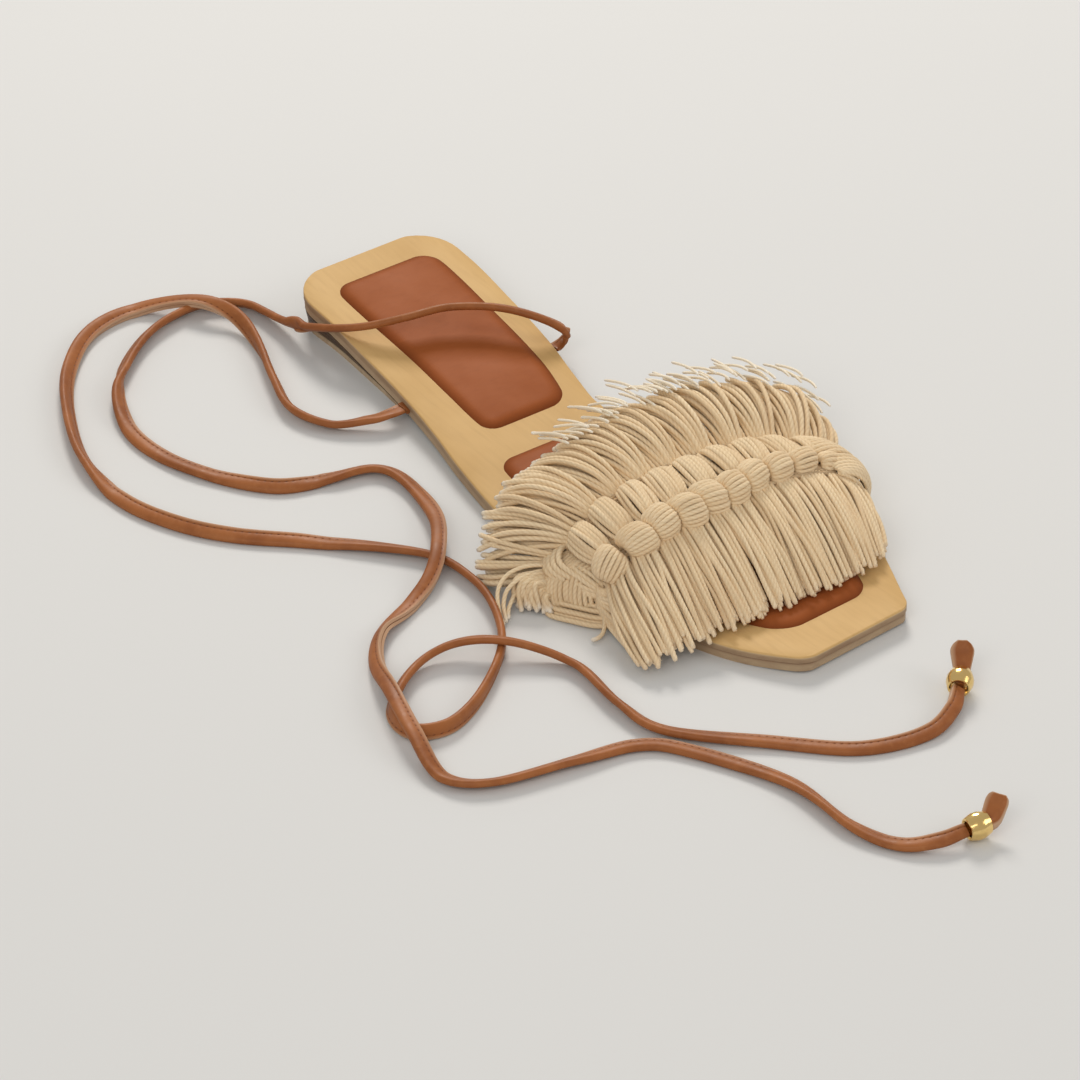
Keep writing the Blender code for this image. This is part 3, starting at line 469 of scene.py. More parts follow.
def gold(name):
    """Polished gold-coloured metal with faint turning marks."""
    shader = Shader(name, 0.16, Metallic=1.0)
    marks = shader.noise(900.0, 2.0, 0.5)
    colour = shader.mix(shader.span(marks, 0.3, 0.8, 0.0, 0.5), (0.92, 0.66, 0.27), (0.82, 0.56, 0.20))
    return shader.finish(colour, shader.span(marks, 0.3, 0.8, 0.12, 0.24), bump=marks, depth=0.00002)


FINISHES = {
    "cotton": cotton("undyed cotton cord", (0.91, 0.74, 0.505), (0.78, 0.60, 0.375)),
    "thread": cotton("bleached thread", (0.95, 0.88, 0.74), (0.86, 0.74, 0.56)),
    # The same cotton in darker colours: painted shade on the core and wall hidden under the knots.
    "core": cotton("shaded cotton core", (0.50, 0.35, 0.20), (0.32, 0.20, 0.10)),
    "board": board_wood("pale board"),
    "board edge": board_edge(
        "board edge", (0.27, 0.175, 0.105), (0.36, 0.25, 0.155), (0.62, 0.46, 0.27)
    ),
    "sole edge": board_edge(
        "sole edge", (0.37, 0.26, 0.165), (0.46, 0.34, 0.215), (0.30, 0.20, 0.125)
    ),
    "pad": pad_leather("pad leather"),
    "tie": tie_leather("tie strap leather"),
    "heel": stacked_heel("stacked heel layers"),
    "lift": top_lift("pale top lift"),
    "gold": gold("polished gold"),
}


# Meshes


def add_piece(name, verts, faces, finish, replaced=(), values=None, smooth=35.0):
    """A piece of the shoe as one mesh, with values per point for its material."""
    mesh = bpy.data.meshes.new(name)
    mesh.from_pydata(np.asarray(verts, float).tolist(), [], faces)
    mesh.materials.append(FINISHES[finish])
    for label, numbers in (values or {}).items():
        mesh.attributes.new(label, "FLOAT", "POINT").data.foreach_set("value", np.asarray(numbers, float))
    mesh.shade_smooth()
    mesh.set_sharp_from_angle(angle=math.radians(smooth))
    piece = bpy.data.objects.new(name, mesh)
    bpy.context.scene.collection.objects.link(piece)
    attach(piece, "root")
    if replaced:
        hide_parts(*replaced)
    return piece


def resample(path, spacing):
    """The same line with points an even distance apart."""
    path = np.asarray(path, float)
    travel = np.concatenate([[0.0], np.cumsum(np.linalg.norm(np.diff(path, axis=0), axis=1))])
    count = max(3, int(round(travel[-1] / spacing)) + 1)
    at = np.linspace(0.0, travel[-1], count)
    return np.stack([np.interp(at, travel, path[:, k]) for k in range(3)], axis=1)


def unit(vectors):
    return vectors / np.linalg.norm(vectors, axis=-1, keepdims=True)


def side_vectors(points):
    """Tangents of a line and two side vectors carried along it without twisting."""
    tangents = unit(np.gradient(points, axis=0))
    side = np.cross(tangents[0], (0.0, 0.0, 1.0))
    if np.linalg.norm(side) < 0.1:
        side = np.array((0.0, 1.0, 0.0))
    sides = np.empty_like(points)
    for i, tangent in enumerate(tangents):
        side = unit(side - tangent * (side @ tangent))
        sides[i] = side
    return tangents, sides, np.cross(tangents, sides)


def smooth_line(points, per_gap=10):
    """A smooth curve through a few points."""
    points = np.asarray(points, float)
    chain = np.vstack([points[0] * 2 - points[1], points, points[-1] * 2 - points[-2]])
    fine = []
    for p0, p1, p2, p3 in zip(chain, chain[1:], chain[2:], chain[3:]):
        for i in range(per_gap):
            t = i / per_gap
            cubic = 3 * p1 - p0 - 3 * p2 + p3
            square = 2 * p0 - 5 * p1 + 4 * p2 - p3
            fine.append((2 * p1 + (p2 - p0) * t + square * t**2 + cubic * t**3) / 2)
    fine.append(points[-1])
    return np.array(fine)


def tube_faces(rings, around, base=0):
    """Faces of a tube with closed ends, from how many rings it has and the points in each."""
    faces = []
    for i in range(rings - 1):
        near, far = base + i * around, base + (i + 1) * around
        for j in range(around):
            k = (j + 1) % around
            faces.append((near + j, near + k, far + k, far + j))
    faces.append(tuple(base + j for j in reversed(range(around))))
    faces.append(tuple(base + (rings - 1) * around + j for j in range(around)))
    return faces


class Strands:
    """Many cords gathered into one mesh; draw turns each about its line at random."""

    def __init__(self, draw=None):
        self.draw = draw
        self.verts = []
        self.faces = []
        self.values = {"ply": [], "shade": [], "cut": []}
        self.total = 0

    def add(self, path, radius=CORD_RADIUS, shade=0.5, cut=(0.0, 1.0), section=PLY_SECTION,
            spacing=CORD_SPACING):
        """One cord along a path; cut says how strongly each end shows its pale fibres."""
        start_turn = self.draw.uniform(0, START_TURN) if self.draw else 0.0
        centre = resample(path, spacing)
        _, across, over = side_vectors(centre)
        count = len(centre)
        rows = np.array(section)
        angle = np.radians(rows[:, 0])[None, :] + (CORD_TURN * np.arange(count) + start_turn)[:, None]
        girth = np.ones(count)
        girth[0] = girth[-1] = CORD_TAPER
        reach = radius * rows[:, 1][None, :] * girth[:, None]
        ring = centre[:, None, :] + (reach * np.cos(angle))[..., None] * across[:, None, :]
        ring = ring + (reach * np.sin(angle))[..., None] * over[:, None, :]
        around = len(rows)
        self.verts.append(ring.reshape(-1, 3))
        self.faces += tube_faces(count, around, self.total)
        pale = np.zeros(count)
        pale[:2] = np.array((1.0, 0.6)) * cut[0]
        fade = min(PALE_RINGS, count)
        if cut[1]:
            pale[-fade:] = cut[1] * np.linspace(0.0, 1.0, fade) ** 2
        self.values["ply"].append(np.tile(rows[:, 2], count))
        self.values["shade"].append(np.full(count * around, shade))
        self.values["cut"].append(np.repeat(pale, around))
        self.total += count * around

    def lay(self, points, per_gap=10, **values):
        """One cord on a smooth curve through a few places given in millimetres."""
        self.add(smooth_line([route_place(point) for point in points], per_gap), **values)

    def piece(self, name, replaced=(), finish="cotton"):
        values = {label: np.concatenate(numbers) for label, numbers in self.values.items()}
        verts = np.concatenate(self.verts)
        return add_piece(name, verts, self.faces, finish, replaced, values, 80.0)


# Camera, light and floor


def make_camera():
    """The photograph's angle, framed on the one shoe and its ties."""
    data = bpy.data.cameras.new("camera")
    data.sensor_width = 36.0
    data.lens = 286.0
    data.clip_start = 0.1
    data.clip_end = 20.0
    camera = bpy.data.objects.new("camera", data)
    bpy.context.scene.collection.objects.link(camera)
    camera.location = (-1.3174, -1.7371, 1.4336)
    aim = Vector((-0.042, -0.031, 0.008))
    camera.rotation_euler = (aim - camera.location).to_track_quat("-Z", "Y").to_euler()
    bpy.context.scene.camera = camera


def make_light(name, spot, aim, size, power, colour):
    data = bpy.data.lights.new(name, "AREA")
    data.shape = "RECTANGLE"
    data.size, data.size_y = size
    data.energy = power
    data.color = colour
    light = bpy.data.objects.new(name, data)
    bpy.context.scene.collection.objects.link(light)
    light.location = spot
    light.rotation_euler = (Vector(aim) - Vector(spot)).to_track_quat("-Z", "Y").to_euler()


def make_studio():
    """Plain pale floor under soft light, the main light from behind and above."""
    mesh = bpy.data.meshes.new("floor")
    half = 6.0
    corners = [(-half, -half, 0), (half, -half, 0), (half, half, 0), (-half, half, 0)]
    mesh.from_pydata(corners, [], [(0, 1, 2, 3)])
    floor = bpy.data.objects.new("floor", mesh)
    bpy.context.scene.collection.objects.link(floor)
    shader = Shader("pale floor", 0.7)
    tone = shader.mix(shader.noise(3.0), (0.66, 0.68, 0.70), (0.68, 0.70, 0.72))
    mesh.materials.append(shader.finish(tone))
    middle = (-0.03, 0.0, 0.01)
    make_light("key", (0.85, 1.30, 1.25), middle, (0.6, 0.6), 22.0, (1.0, 0.93, 0.84))
    make_light("fill", (-1.5, -1.1, 1.5), middle, (1.6, 1.2), 15.0, (1.0, 0.95, 0.88))
    make_light("side", (1.2, -1.2, 1.0), middle, (1.0, 0.8), 6.0, (1.0, 0.94, 0.87))
    world = bpy.data.worlds.new("soft room")
    world.use_nodes = True
    world.node_tree.nodes["Background"].inputs[0].default_value = (1.0, 0.96, 0.90, 1.0)
    world.node_tree.nodes["Background"].inputs[1].default_value = 0.47
    bpy.context.scene.world = world
    bpy.context.scene.view_settings.view_transform = "Standard"
    bpy.context.scene.view_settings.look = "None"


# Ties


def tie_line(side, route):
    """Centre of a tie, from the strap's end under the board to its bead."""
    overhang = TIE_OVERHANG + CLEARANCE
    lateral, medial = edges(TIE_STATION)
    level = board_top(TIE_STATION) - BOARD_THICK - CLEARANCE - TIE_STRAP_THICK / 2
    start = place(lateral - overhang if side == 0 else medial + overhang, TIE_STATION, level)
    return resample(smooth_line([start] + [route_place(point) for point in route], 16), STRAP_SPACING)


def settle(centre, side, travel, rest):
    """Lowers a strap's centre to rest on the floor, or as far over it as its route is lifted."""
    lift = np.maximum(centre[:, 2] - ROUTE_FLOOR * MM, 0.0)
    if side == 0:
        grounded = np.interp(travel, (0.012, 0.030), (0.0, 1.0))
    else:
        grounded = np.interp(travel / travel[-1], (0.135, 0.165), (0.0, 1.0))
    grounded = grounded * np.interp(travel, (travel[-1] - 0.030, travel[-1] - 0.002), (1.0, 0.0))
    laid = rest + lift + FLOOR_GAP
    centre[:, 2] = centre[:, 2] * (1 - grounded) + laid * grounded


def strap_sides(tangents, turn):
    """Directions across a strap along its line, level and then turned up by its roll."""
    width = np.empty_like(tangents)
    base = np.array((0.0, 1.0, 0.0))
    for i, tangent in enumerate(tangents):
        base = unit(base - tangent * (base @ tangent))
        level = np.cross(tangent, (0.0, 0.0, 1.0))
        flatness = np.linalg.norm(level)
        if flatness > 0.4:
            level = level / flatness
            level = level if level @ base > 0 else -level
            base = unit(base + level * 0.12 * (flatness - 0.4))
        over = np.cross(tangent, base)
        over = over if over[2] >= 0 or flatness < 0.4 else -over
        width[i] = base * math.cos(turn[i]) + over * math.sin(turn[i])
    return width


def make_tie(name, side, route, roll):
    """One folded and stitched leather strap, lying on the floor and over itself."""
    centre = tie_line(side, route)
    count = len(centre)
    travel = np.arange(count) * STRAP_SPACING
    turn = np.radians([curve_value(roll, value) for value in travel / travel[-1]])
    thin = np.interp(travel, (0.0, 0.012), (0.45, 1.0))
    taper = np.interp(travel, (travel[-1] - 0.008, travel[-1]), (1.0, 0.86))
    half_wide = STRAP_HALF_WIDTH * taper
    half_thick = STRAP_HALF_THICK * thin * taper
    rest = np.sqrt((half_wide * np.sin(turn)) ** 2 + (half_thick * np.cos(turn)) ** 2)
    settle(centre, side, travel, rest)

    tangents = unit(np.gradient(centre, axis=0))
    width = strap_sides(tangents, turn)
    through = np.cross(tangents, width)
    rows = np.array(STRAP_SECTION)
    around = len(rows)
    seam = rows[:, 3][None, :]
    hole = (np.arange(count) % STITCH_RINGS == 0).astype(float)[:, None]
    wide_part = half_wide[:, None] * rows[:, 0][None, :]
    thick_part = half_thick[:, None] * rows[:, 1][None, :] * (1.0 - STITCH_DEPTH * hole * seam)
    ring = centre[:, None, :] + wide_part[..., None] * width[:, None, :]
    ring = ring + thick_part[..., None] * through[:, None, :]
    sunk = np.maximum(FLOOR_GAP - ring[:, :, 2].min(axis=1), 0.0)
    window = np.ones(STITCH_RINGS) / STITCH_RINGS
    sunk = np.maximum(sunk, np.convolve(sunk, window, "same"))
    ring[:, :, 2] += sunk[:, None]
    centre[:, 2] += sunk
    values = {
        "raw": np.tile(rows[:, 2], count),
        "stitch": (hole * seam * 0.9 + 0.25 * seam).reshape(-1),
    }
    node = "tie_" + name.split("_")[0]
    faces = tube_faces(count, around)
    tie = add_piece(name, ring.reshape(-1, 3), faces, "tie", (node,), values, 50.0)
    return tie, centre


def bead_axis(name, centre):
    """Middle of a bead's CAD solid and the direction in which the tie runs into it."""
    low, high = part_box(name)
    middle = (np.array(low) + np.array(high)) / 2
    return middle, unit(middle - centre[-1])


def make_bead(name, middle, heading, node):
    """Turned bead with chamfered ends and a wide bore."""
    radius = BEAD_DIAMETER / 2 / MM
    half, bore = BEAD_HALF_LENGTH, BEAD_BORE
    profile = [
        (bore, -half + 0.5), (bore + 0.35, -half), (3.05, -half), (3.35, -half + 0.15), (3.9, -1.5),
        (radius, -0.75), (radius, 0.75), (3.9, 1.5), (3.35, half - 0.15), (3.05, half),
        (bore + 0.35, half), (bore, half - 0.5),
    ]
    steps = 48
    side = unit(np.cross(heading, (0.0, 0.0, 1.0)))
    over = np.cross(side, heading)
    verts, faces = [], []
    for i in range(steps):
        angle = 2 * math.pi * i / steps
        spoke = side * math.cos(angle) + over * math.sin(angle)
        verts += [middle + spoke * r * MM + heading * z * MM for r, z in profile]
    rows = len(profile)
    for i in range(steps):
        near, far = i * rows, ((i + 1) % steps) * rows
        faces += [(near + j, far + j, far + (j + 1) % rows, near + (j + 1) % rows) for j in range(rows)]
    return add_piece(name, verts, faces, "gold", (node,), None, 22.0)


def make_leather_end(name, middle, heading, node, aim, length, neck, spread, blunt):
    """The tie's folded end beyond the bead: narrow at the bead, widest near its cut edge."""
    aim = unit(np.array(aim))
    mouth = middle + heading * BEAD_HALF_LENGTH * MM
    turn = mouth + unit(heading + aim) * 1.6 * MM
    line = smooth_line([middle + heading * MM, mouth, turn, turn + aim * length / 2, turn + aim * length])
    line = resample(line, length / 20)
    tangents = unit(np.gradient(line, axis=0))
    section = [
        (-1.0, 0.45), (-0.94, 0.95), (-0.5, 1.05), (0.0, 0.85), (0.5, 1.05), (0.88, 0.9), (1.0, 0.5),
        (1.03, 0.0), (1.0, -0.5), (0.88, -0.9), (0.4, -1.0), (-0.5, -1.0), (-0.94, -0.95),
        (-1.0, -0.45), (-0.88, 0.0),
    ]
    width_rows = [
        (0.0, 2.1), (0.25, neck), (0.55, (neck + 2 * spread) / 3), (0.76, spread),
        (0.90, spread * (0.6 + 0.5 * blunt)), (1.0, spread * blunt),
    ]
    verts, raw = [], []
    stations = len(line)
    for i, (point, tangent) in enumerate(zip(line, tangents)):
        t = i / (stations - 1)
        side = unit(np.cross(tangent, (0.0, 0.0, 1.0)))
        over = np.cross(side, tangent)
        last = i == stations - 1
        wide = curve_value(width_rows, t) * MM
        thick = (1.55 - 0.65 * min(max(t - 0.3, 0.0) / 0.4, 1.0)) * MM * (0.8 if last else 1.0)
        for w, h in section:
            curl = 0.45 * MM * w * w * max(t - 0.4, 0.0)
            spot = point + side * w * wide + over * (h * thick + curl)
            verts.append((spot[0], spot[1], max(spot[2], 2 * FLOOR_GAP)))
            raw.append(1.0 if abs(w) > 0.93 or last else 0.0)
    values = {"raw": raw, "stitch": np.zeros(len(raw))}
    faces = tube_faces(stations, len(section))
    return add_piece(name, verts, faces, "tie", (node,), values, 60.0)


def make_ties():
    for ending, side, route, roll, end_shape in (
        ("lateral", 0, LATERAL_ROUTE, LATERAL_ROLL, ((0.44, 0.54, 0.72), 0.0086, 2.4, 3.5, 0.40)),
        ("medial", 1, MEDIAL_ROUTE, MEDIAL_ROLL, ((0.62, 0.30, 0.62), 0.0074, 3.0, 3.5, 0.62)),
    ):
        tie, centre = make_tie(ending + "_strap", side, route, roll)
        middle, heading = bead_axis("bead_" + ending, centre)
        bead = make_bead(ending + "_bead", middle, heading, "bead_" + ending)
        end = make_leather_end(ending + "_end", middle, heading, "knot_" + ending, *end_shape)


# Sole, board, pads


def fine_stations(first, last, first_radius, last_radius, spacing, rim):
    """Sections from first to last: close at the rounded rim and where the corners turn."""
    turns = [1 - math.cos(math.radians(angle)) for angle in (0, 10, 20, 30, 40, 50, 60, 70, 80, 90)]
    marks = {first, last}
    marks |= {first + rim * share for share in (0.08, 0.3, 1.0)}
    marks |= {last - rim * share for share in (0.08, 0.3, 1.0)}
    marks |= {first + first_radius * turn for turn in turns}
    marks |= {last - last_radius * turn for turn in turns}
    start, end = first + first_radius, last - last_radius
    count = max(2, round((end - start) / spacing))
    marks |= {start + (end - start) * i / count for i in range(count + 1)}
    kept = []
    for mark in sorted(marks):
        if not kept or mark - kept[-1] > 0.00003:
            kept.append(mark)
    return kept


def slab(name, sections, sides, top, bottom, rim, finish, replaced, values=None, smooth=35.0):
    """A closed sheet over a plan with a rounded upper rim; top and bottom give heights."""
    shares = [0.0, 0.08, 0.3, 1.0]
    middle = [i / 8 for i in range(1, 8)]
    upper, lower, reach_rows = [], [], []
    for s in sections:
        lateral, medial = sides(s)
        width = medial - lateral
        offsets = [rim * share for share in shares]
        row_x = [lateral + min(offset, width / 2 * 0.9) for offset in offsets]
        row_x += [lateral + rim + (width - 2 * rim) * share for share in middle]
        row_x += [medial - min(offset, width / 2 * 0.9) for offset in reversed(offsets)]
        row_top, row_low, row_reach = [], [], []
        for x in row_x:
            reach = max(min(x - lateral, medial - x, s - sections[0], sections[-1] - s), 0.0)
            cut = rim - math.sqrt(max(rim**2 - (rim - min(reach, rim)) ** 2, 0.0))
            place_s = slanted(x, s)
            row_top.append(place(x, place_s, top(x, s, reach) - cut))
            row_low.append(place(x, place_s, bottom(x, s, reach)))
            row_reach.append(reach)
        upper.append(row_top)
        lower.append(row_low)
        reach_rows.append(row_reach)
    return close_sheet(name, upper, lower, reach_rows, finish, replaced, values, smooth)


def close_sheet(name, upper, lower, reach_rows, finish, replaced, values, smooth):
    """One mesh from an upper and a lower sheet, joined round their outline."""
    rows, columns = len(upper), len(upper[0])
    verts = [point for row in upper + lower for point in row]
    reach = [value for row in reach_rows for value in row] * 2
    under = rows * columns
    faces = []
    for i in range(rows - 1):
        for j in range(columns - 1):
            a, b = i * columns + j, i * columns + j + 1
            c, d = b + columns, a + columns
            faces.append((a, b, c, d))
            faces.append((under + a, under + d, under + c, under + b))
    outline = list(range(columns))
    outline += [i * columns + columns - 1 for i in range(1, rows)]
    outline += [(rows - 1) * columns + j for j in range(columns - 2, -1, -1)]
    outline += [i * columns for i in range(rows - 2, 0, -1)]
    side_start = len(faces)
    for i, corner in enumerate(outline):
        following = outline[(i + 1) % len(outline)]
        faces.append((corner, under + corner, under + following, following))
    marks = values(reach, under) if values else None
    piece = add_piece(name, verts, faces, finish, replaced, marks, smooth)
    return piece, side_start


def paint_sides(piece, side_start, finish):
    """Gives the faces round the outline their own finish."""
    piece.data.materials.append(FINISHES[finish])
    for polygon in piece.data.polygons[side_start:]:
        polygon.material_index = 1


def inset_edges(inset):
    def sides(s):
        lateral, medial = edges(s)
        return lateral + inset, medial - inset

    return sides


def pad_sides(plan, size, grow):
    """Edges of a pad, or of its window when grown by the clearance."""
    start, length, width = size

    def sides(s):
        share = (s - start) / length
        corner = corner_inset(s - start + grow, PAD_CORNER)
        corner += corner_inset(start + length + grow - s, PAD_CORNER)
        medial = curve_value(plan, share, 1) * width + grow - corner
        lateral = -curve_value(plan, share, 2) * width - grow + corner
        return lateral, medial

    return sides


def cut_window(board, plan, size):
    """Takes a pad's window out of the board with a cutter that is used up."""
    start, length, _ = size
    first, last = start - CLEARANCE, start + length + CLEARANCE
    sections = fine_stations(first, last, PAD_CORNER, PAD_CORNER, 0.003, 0.0002)
    sides = pad_sides(plan, size, CLEARANCE)
    upper, lower = [], []
    for s in sections:
        lateral, medial = sides(s)
        ends = [lateral, medial]
        upper.append([place(x, slanted(x, s), board_top(s) + BOARD_THICK) for x in ends])
        lower.append([place(x, slanted(x, s), board_top(s) - 2 * BOARD_THICK) for x in ends])
    blank = [[0.0, 0.0] for _ in sections]
    cutter, _ = close_sheet("window_cutter", upper, lower, blank, "board", (), None, 30.0)
    knife = board.modifiers.new("window", "BOOLEAN")
    knife.operation = "DIFFERENCE"
    knife.solver = "EXACT"
    knife.object = cutter
    shape = bpy.data.meshes.new_from_object(board.evaluated_get(bpy.context.evaluated_depsgraph_get()))
    board.modifiers.clear()
    board.data = shape
    bpy.data.objects.remove(cutter, do_unlink=True)


def top_rim(reach, under):
    """Marks the upper sheet's points, so that the side's colour fades down from the rim."""
    return {"rim": [1.0 if i < under else 0.0 for i in range(len(reach))]}


def make_sole():
    """Board with its two windows, the outsole under it and the heel under both."""
    drop = BOARD_THICK + CLEARANCE
    board_rim = 0.00055
    layer_rim = 0.0002
    sections = fine_stations(0.0, SOLE_LENGTH, HEEL_CORNER, TOE_CORNER, 0.0022, board_rim)
    board, side_start = slab(
        "board", sections, edges, lambda x, s, reach: board_top(s),
        lambda x, s, reach: board_top(s) - BOARD_THICK,
        board_rim, "board", ("footbed_board",), top_rim,
    )
    paint_sides(board, side_start, "board edge")
    cut_window(board, HEEL_PAD_PLAN, HEEL_PAD)
    cut_window(board, FOREFOOT_PAD_PLAN, FOREFOOT_PAD)

    last = SOLE_LENGTH - OUTSOLE_INSET
    sections = fine_stations(OUTSOLE_INSET, last, HEEL_CORNER, TOE_CORNER, 0.0025, layer_rim)
    slab(
        "outsole_layer", sections, inset_edges(OUTSOLE_INSET), lambda x, s, reach: board_top(s) - drop,
        lambda x, s, reach: board_top(s) - drop - OUTSOLE_THICK,
        layer_rim, "sole edge", ("outsole",), top_rim,
    )
    last = HEEL_BLOCK_LENGTH
    sections = fine_stations(OUTSOLE_INSET, last, HEEL_CORNER, HEEL_BREAST_CORNER, 0.003, layer_rim)
    make_heel_block(sections, drop + OUTSOLE_THICK + CLEARANCE)


def make_heel_block(sections, sole_drop):
    """Stacked block in thin layers, drawn in a little between them, and the pale lift under it."""
    block_under = TOP_LIFT_THICK + CLEARANCE
    layers = 9
    levels = []
    for i in range(layers):
        low, high = i / layers, (i + 1) / layers
        levels += [(low + 0.012, 0.00012), (low + 0.03, 0.0), (high - 0.018, 0.0)]
    levels = [(0.0, 0.0004)] + levels + [(1.0, 0.0)]

    def outline(level, inset):
        """Places round the block at a level from its foot to the sole."""
        draw = OUTSOLE_INSET + (HEEL_TAPER - OUTSOLE_INSET) * (1 - level) + inset
        lateral_side, medial_side = [], []
        for s in sections:
            lateral, medial = inset_edges(draw)(s)
            z = block_under + (board_top(s) - sole_drop - block_under) * level
            lateral_side.append(place(lateral, s, z))
            medial_side.append(place(medial, s, z))
        return lateral_side + medial_side[::-1]

    rings = [outline(level, inset) for level, inset in levels]
    around = len(rings[0])
    verts = [point for ring in rings for point in ring]
    faces = tube_faces(len(rings), around)[:-2]
    half = around // 2
    for base, flip in ((0, True), ((len(rings) - 1) * around, False)):
        for j in range(half - 1):
            quad = (base + j, base + around - 1 - j, base + around - 2 - j, base + j + 1)
            faces.append(quad[::-1] if flip else quad)
    add_piece("heel_stack", verts, faces, "heel", ("heel_block",), None, 30.0)
    slab(
        "wearing_lift", sections, inset_edges(HEEL_TAPER), lambda x, s, reach: TOP_LIFT_THICK,
        lambda x, s, reach: 0.0, 0.00025, "lift", ("heel_top_lift",), None,
    )


def make_pad(name, plan, size, node):
    """Domed leather pad, its rolled edge going down into the board's window."""
    start, length, _ = size
    sections = fine_stations(start, start + length, PAD_CORNER, PAD_CORNER, 0.002, 0.0006)
    sides = pad_sides(plan, size, 0.0)
    columns = [0.0, 0.0003, 0.0008, 0.0016, 0.0026, 0.0038, 0.0052]
    middle = [i / 12 for i in range(1, 12)]
    marks_s = start + length * (1 - np.cos(np.linspace(0, np.pi, 240))) / 2
    outline = [(x, s) for s in marks_s for x in sides(s)]
    for s in (start, start + length):
        outline += [(x, s) for x in np.linspace(*sides(s), 120)]
    outline = np.array(outline)
    upper, lower, reach_rows = [], [], []
    for s in sections:
        lateral, medial = sides(s)
        width = medial - lateral
        row_x = [lateral + offset for offset in columns]
        row_x += [lateral + columns[-1] + (width - 2 * columns[-1]) * share for share in middle]
        row_x += [medial - offset for offset in reversed(columns)]
        row_top, row_low, row_reach = [], [], []
        for x in row_x:
            reach = max(min(x - lateral, medial - x), 0.0)
            reach = min(reach, np.hypot(outline[:, 0] - x, outline[:, 1] - s).min())
            swell = 1 - (1 - min(reach / PAD_ROUNDING, 1.0)) ** PAD_FULLNESS
            centre_share = min(x - lateral, medial - x) / (width / 2)
            crown = PAD_CROWN * (1 - (1 - centre_share) ** 2) * min(reach / PAD_CROWN_REACH, 1.0)
            z = board_top(s) - PAD_SINK + (PAD_SINK + PAD_RISE - 0.0004) * swell + crown
            row_top.append(place(x, slanted(x, s), z))
            row_low.append(place(x, slanted(x, s), board_top(s) - BOARD_THICK))
            row_reach.append(reach)
        upper.append(row_top)
        lower.append(row_low)
        reach_rows.append(row_reach)

    # Painted shade mask, strongest at the pad's rolled edge.
    def marks(reach, under):
        return {"rim": [max(0.0, 1 - value / PAD_RIM_SHADE) ** 1.6 for value in reach]}

    pad, _ = close_sheet(name, upper, lower, reach_rows, "pad", (node,), marks, 50.0)


# Knotted band


def arch_points(lateral, medial, base_lateral, base_medial, shares):
    """Inner face of the band over the foot, at shares of its length from the lateral side."""
    middle = (lateral + medial) / 2
    half = (medial - lateral) / 2
    angle = np.pi * (1 - np.arange(ARCH_STEPS + 1) / ARCH_STEPS)
    across = np.copysign(np.abs(np.cos(angle)) ** (2 / BAND_SQUARENESS), np.cos(angle))
    up = np.abs(np.sin(angle)) ** (2 / BAND_SQUARENESS)
    base = base_lateral + (base_medial - base_lateral) * (1 + across) / 2
    fine = np.stack([middle + half * across, base + BAND_CROWN * up], axis=1)
    travel = np.concatenate([[0.0], np.cumsum(np.linalg.norm(np.diff(fine, axis=0), axis=1))])
    at = np.asarray(shares) * travel[-1]
    return np.stack([np.interp(at, travel, fine[:, k]) for k in range(2)], axis=1), travel[-1]


def band_foot(side, across):
    station = BAND_STATION_LATERAL if side == 0 else BAND_STATION_MEDIAL
    s = station + across * BAND_HALF_FOOT
    return s, edges(s)[side], board_top(s)


LINES = np.linspace(-1.0, 1.0, 9)
SHARES = np.linspace(0.0, 1.0, 201)


def band_tables():
    """Inner face of the band and its outward normals on a grid, and the arch's length."""
    points = np.zeros((len(LINES), len(SHARES), 3))
    normals = np.zeros_like(points)
    for i, across in enumerate(LINES):
        s_lateral, lateral, top_lateral = band_foot(0, across)
        s_medial, medial, top_medial = band_foot(1, across)
        chain, arch_length = arch_points(
            lateral - CLEARANCE, medial + CLEARANCE, top_lateral, top_medial, SHARES
        )
        heading = np.gradient(chain, axis=0)
        heading[0], heading[-1] = chain[1] - chain[0], chain[-1] - chain[-2]
        heading = unit(heading)
        bulge = np.sin(np.pi * np.clip(SHARES, 1e-6, 1 - 1e-6)) ** BAND_BULGE
        spread = across * (BAND_HALF_CROWN - BAND_HALF_FOOT) + BAND_STATION_CROWN
        s = s_lateral + (s_medial - s_lateral) * SHARES + bulge * spread
        points[i] = np.stack([AXIS_X + chain[:, 0], MIDDLE - s, chain[:, 1]], axis=1)
        normals[i] = np.stack([-heading[:, 1], np.zeros(len(SHARES)), heading[:, 0]], axis=1)
    return points, normals, arch_length


BAND_POINTS, BAND_NORMALS, ARCH_LENGTH = band_tables()


def on_band(share, across, height):
    """Places on the band at a height over its inner face; past its edges it goes straight on."""
    share, across, height = np.broadcast_arrays(
        np.asarray(share, float), np.asarray(across, float), np.asarray(height, float)
    )
    u = (across + 1) / 2 * (len(LINES) - 1)
    v = share * (len(SHARES) - 1)
    i = np.clip(np.floor(u).astype(int), 0, len(LINES) - 2)
    j = np.clip(np.floor(v).astype(int), 0, len(SHARES) - 2)
    fu, fv = (u - i)[..., None], (v - j)[..., None]

    def blend(table, fu, fv):
        near = table[i, j] * (1 - fv) + table[i, j + 1] * fv
        far = table[i + 1, j] * (1 - fv) + table[i + 1, j + 1] * fv
        return near * (1 - fu) + far * fu

    normal = unit(blend(BAND_NORMALS, np.clip(fu, 0, 1), np.clip(fv, 0, 1)))
    return blend(BAND_POINTS, fu, fv) + normal * height[..., None]


def wall(share):
    return BAND_THICK * curve_value(BAND_WALL, share)


def half_width(share):
    """Half the band's width at a share of its arch."""
    bulge = math.sin(math.pi * min(max(share, 0.0), 1.0)) ** BAND_BULGE
    return BAND_HALF_FOOT + (BAND_HALF_CROWN - BAND_HALF_FOOT) * bulge


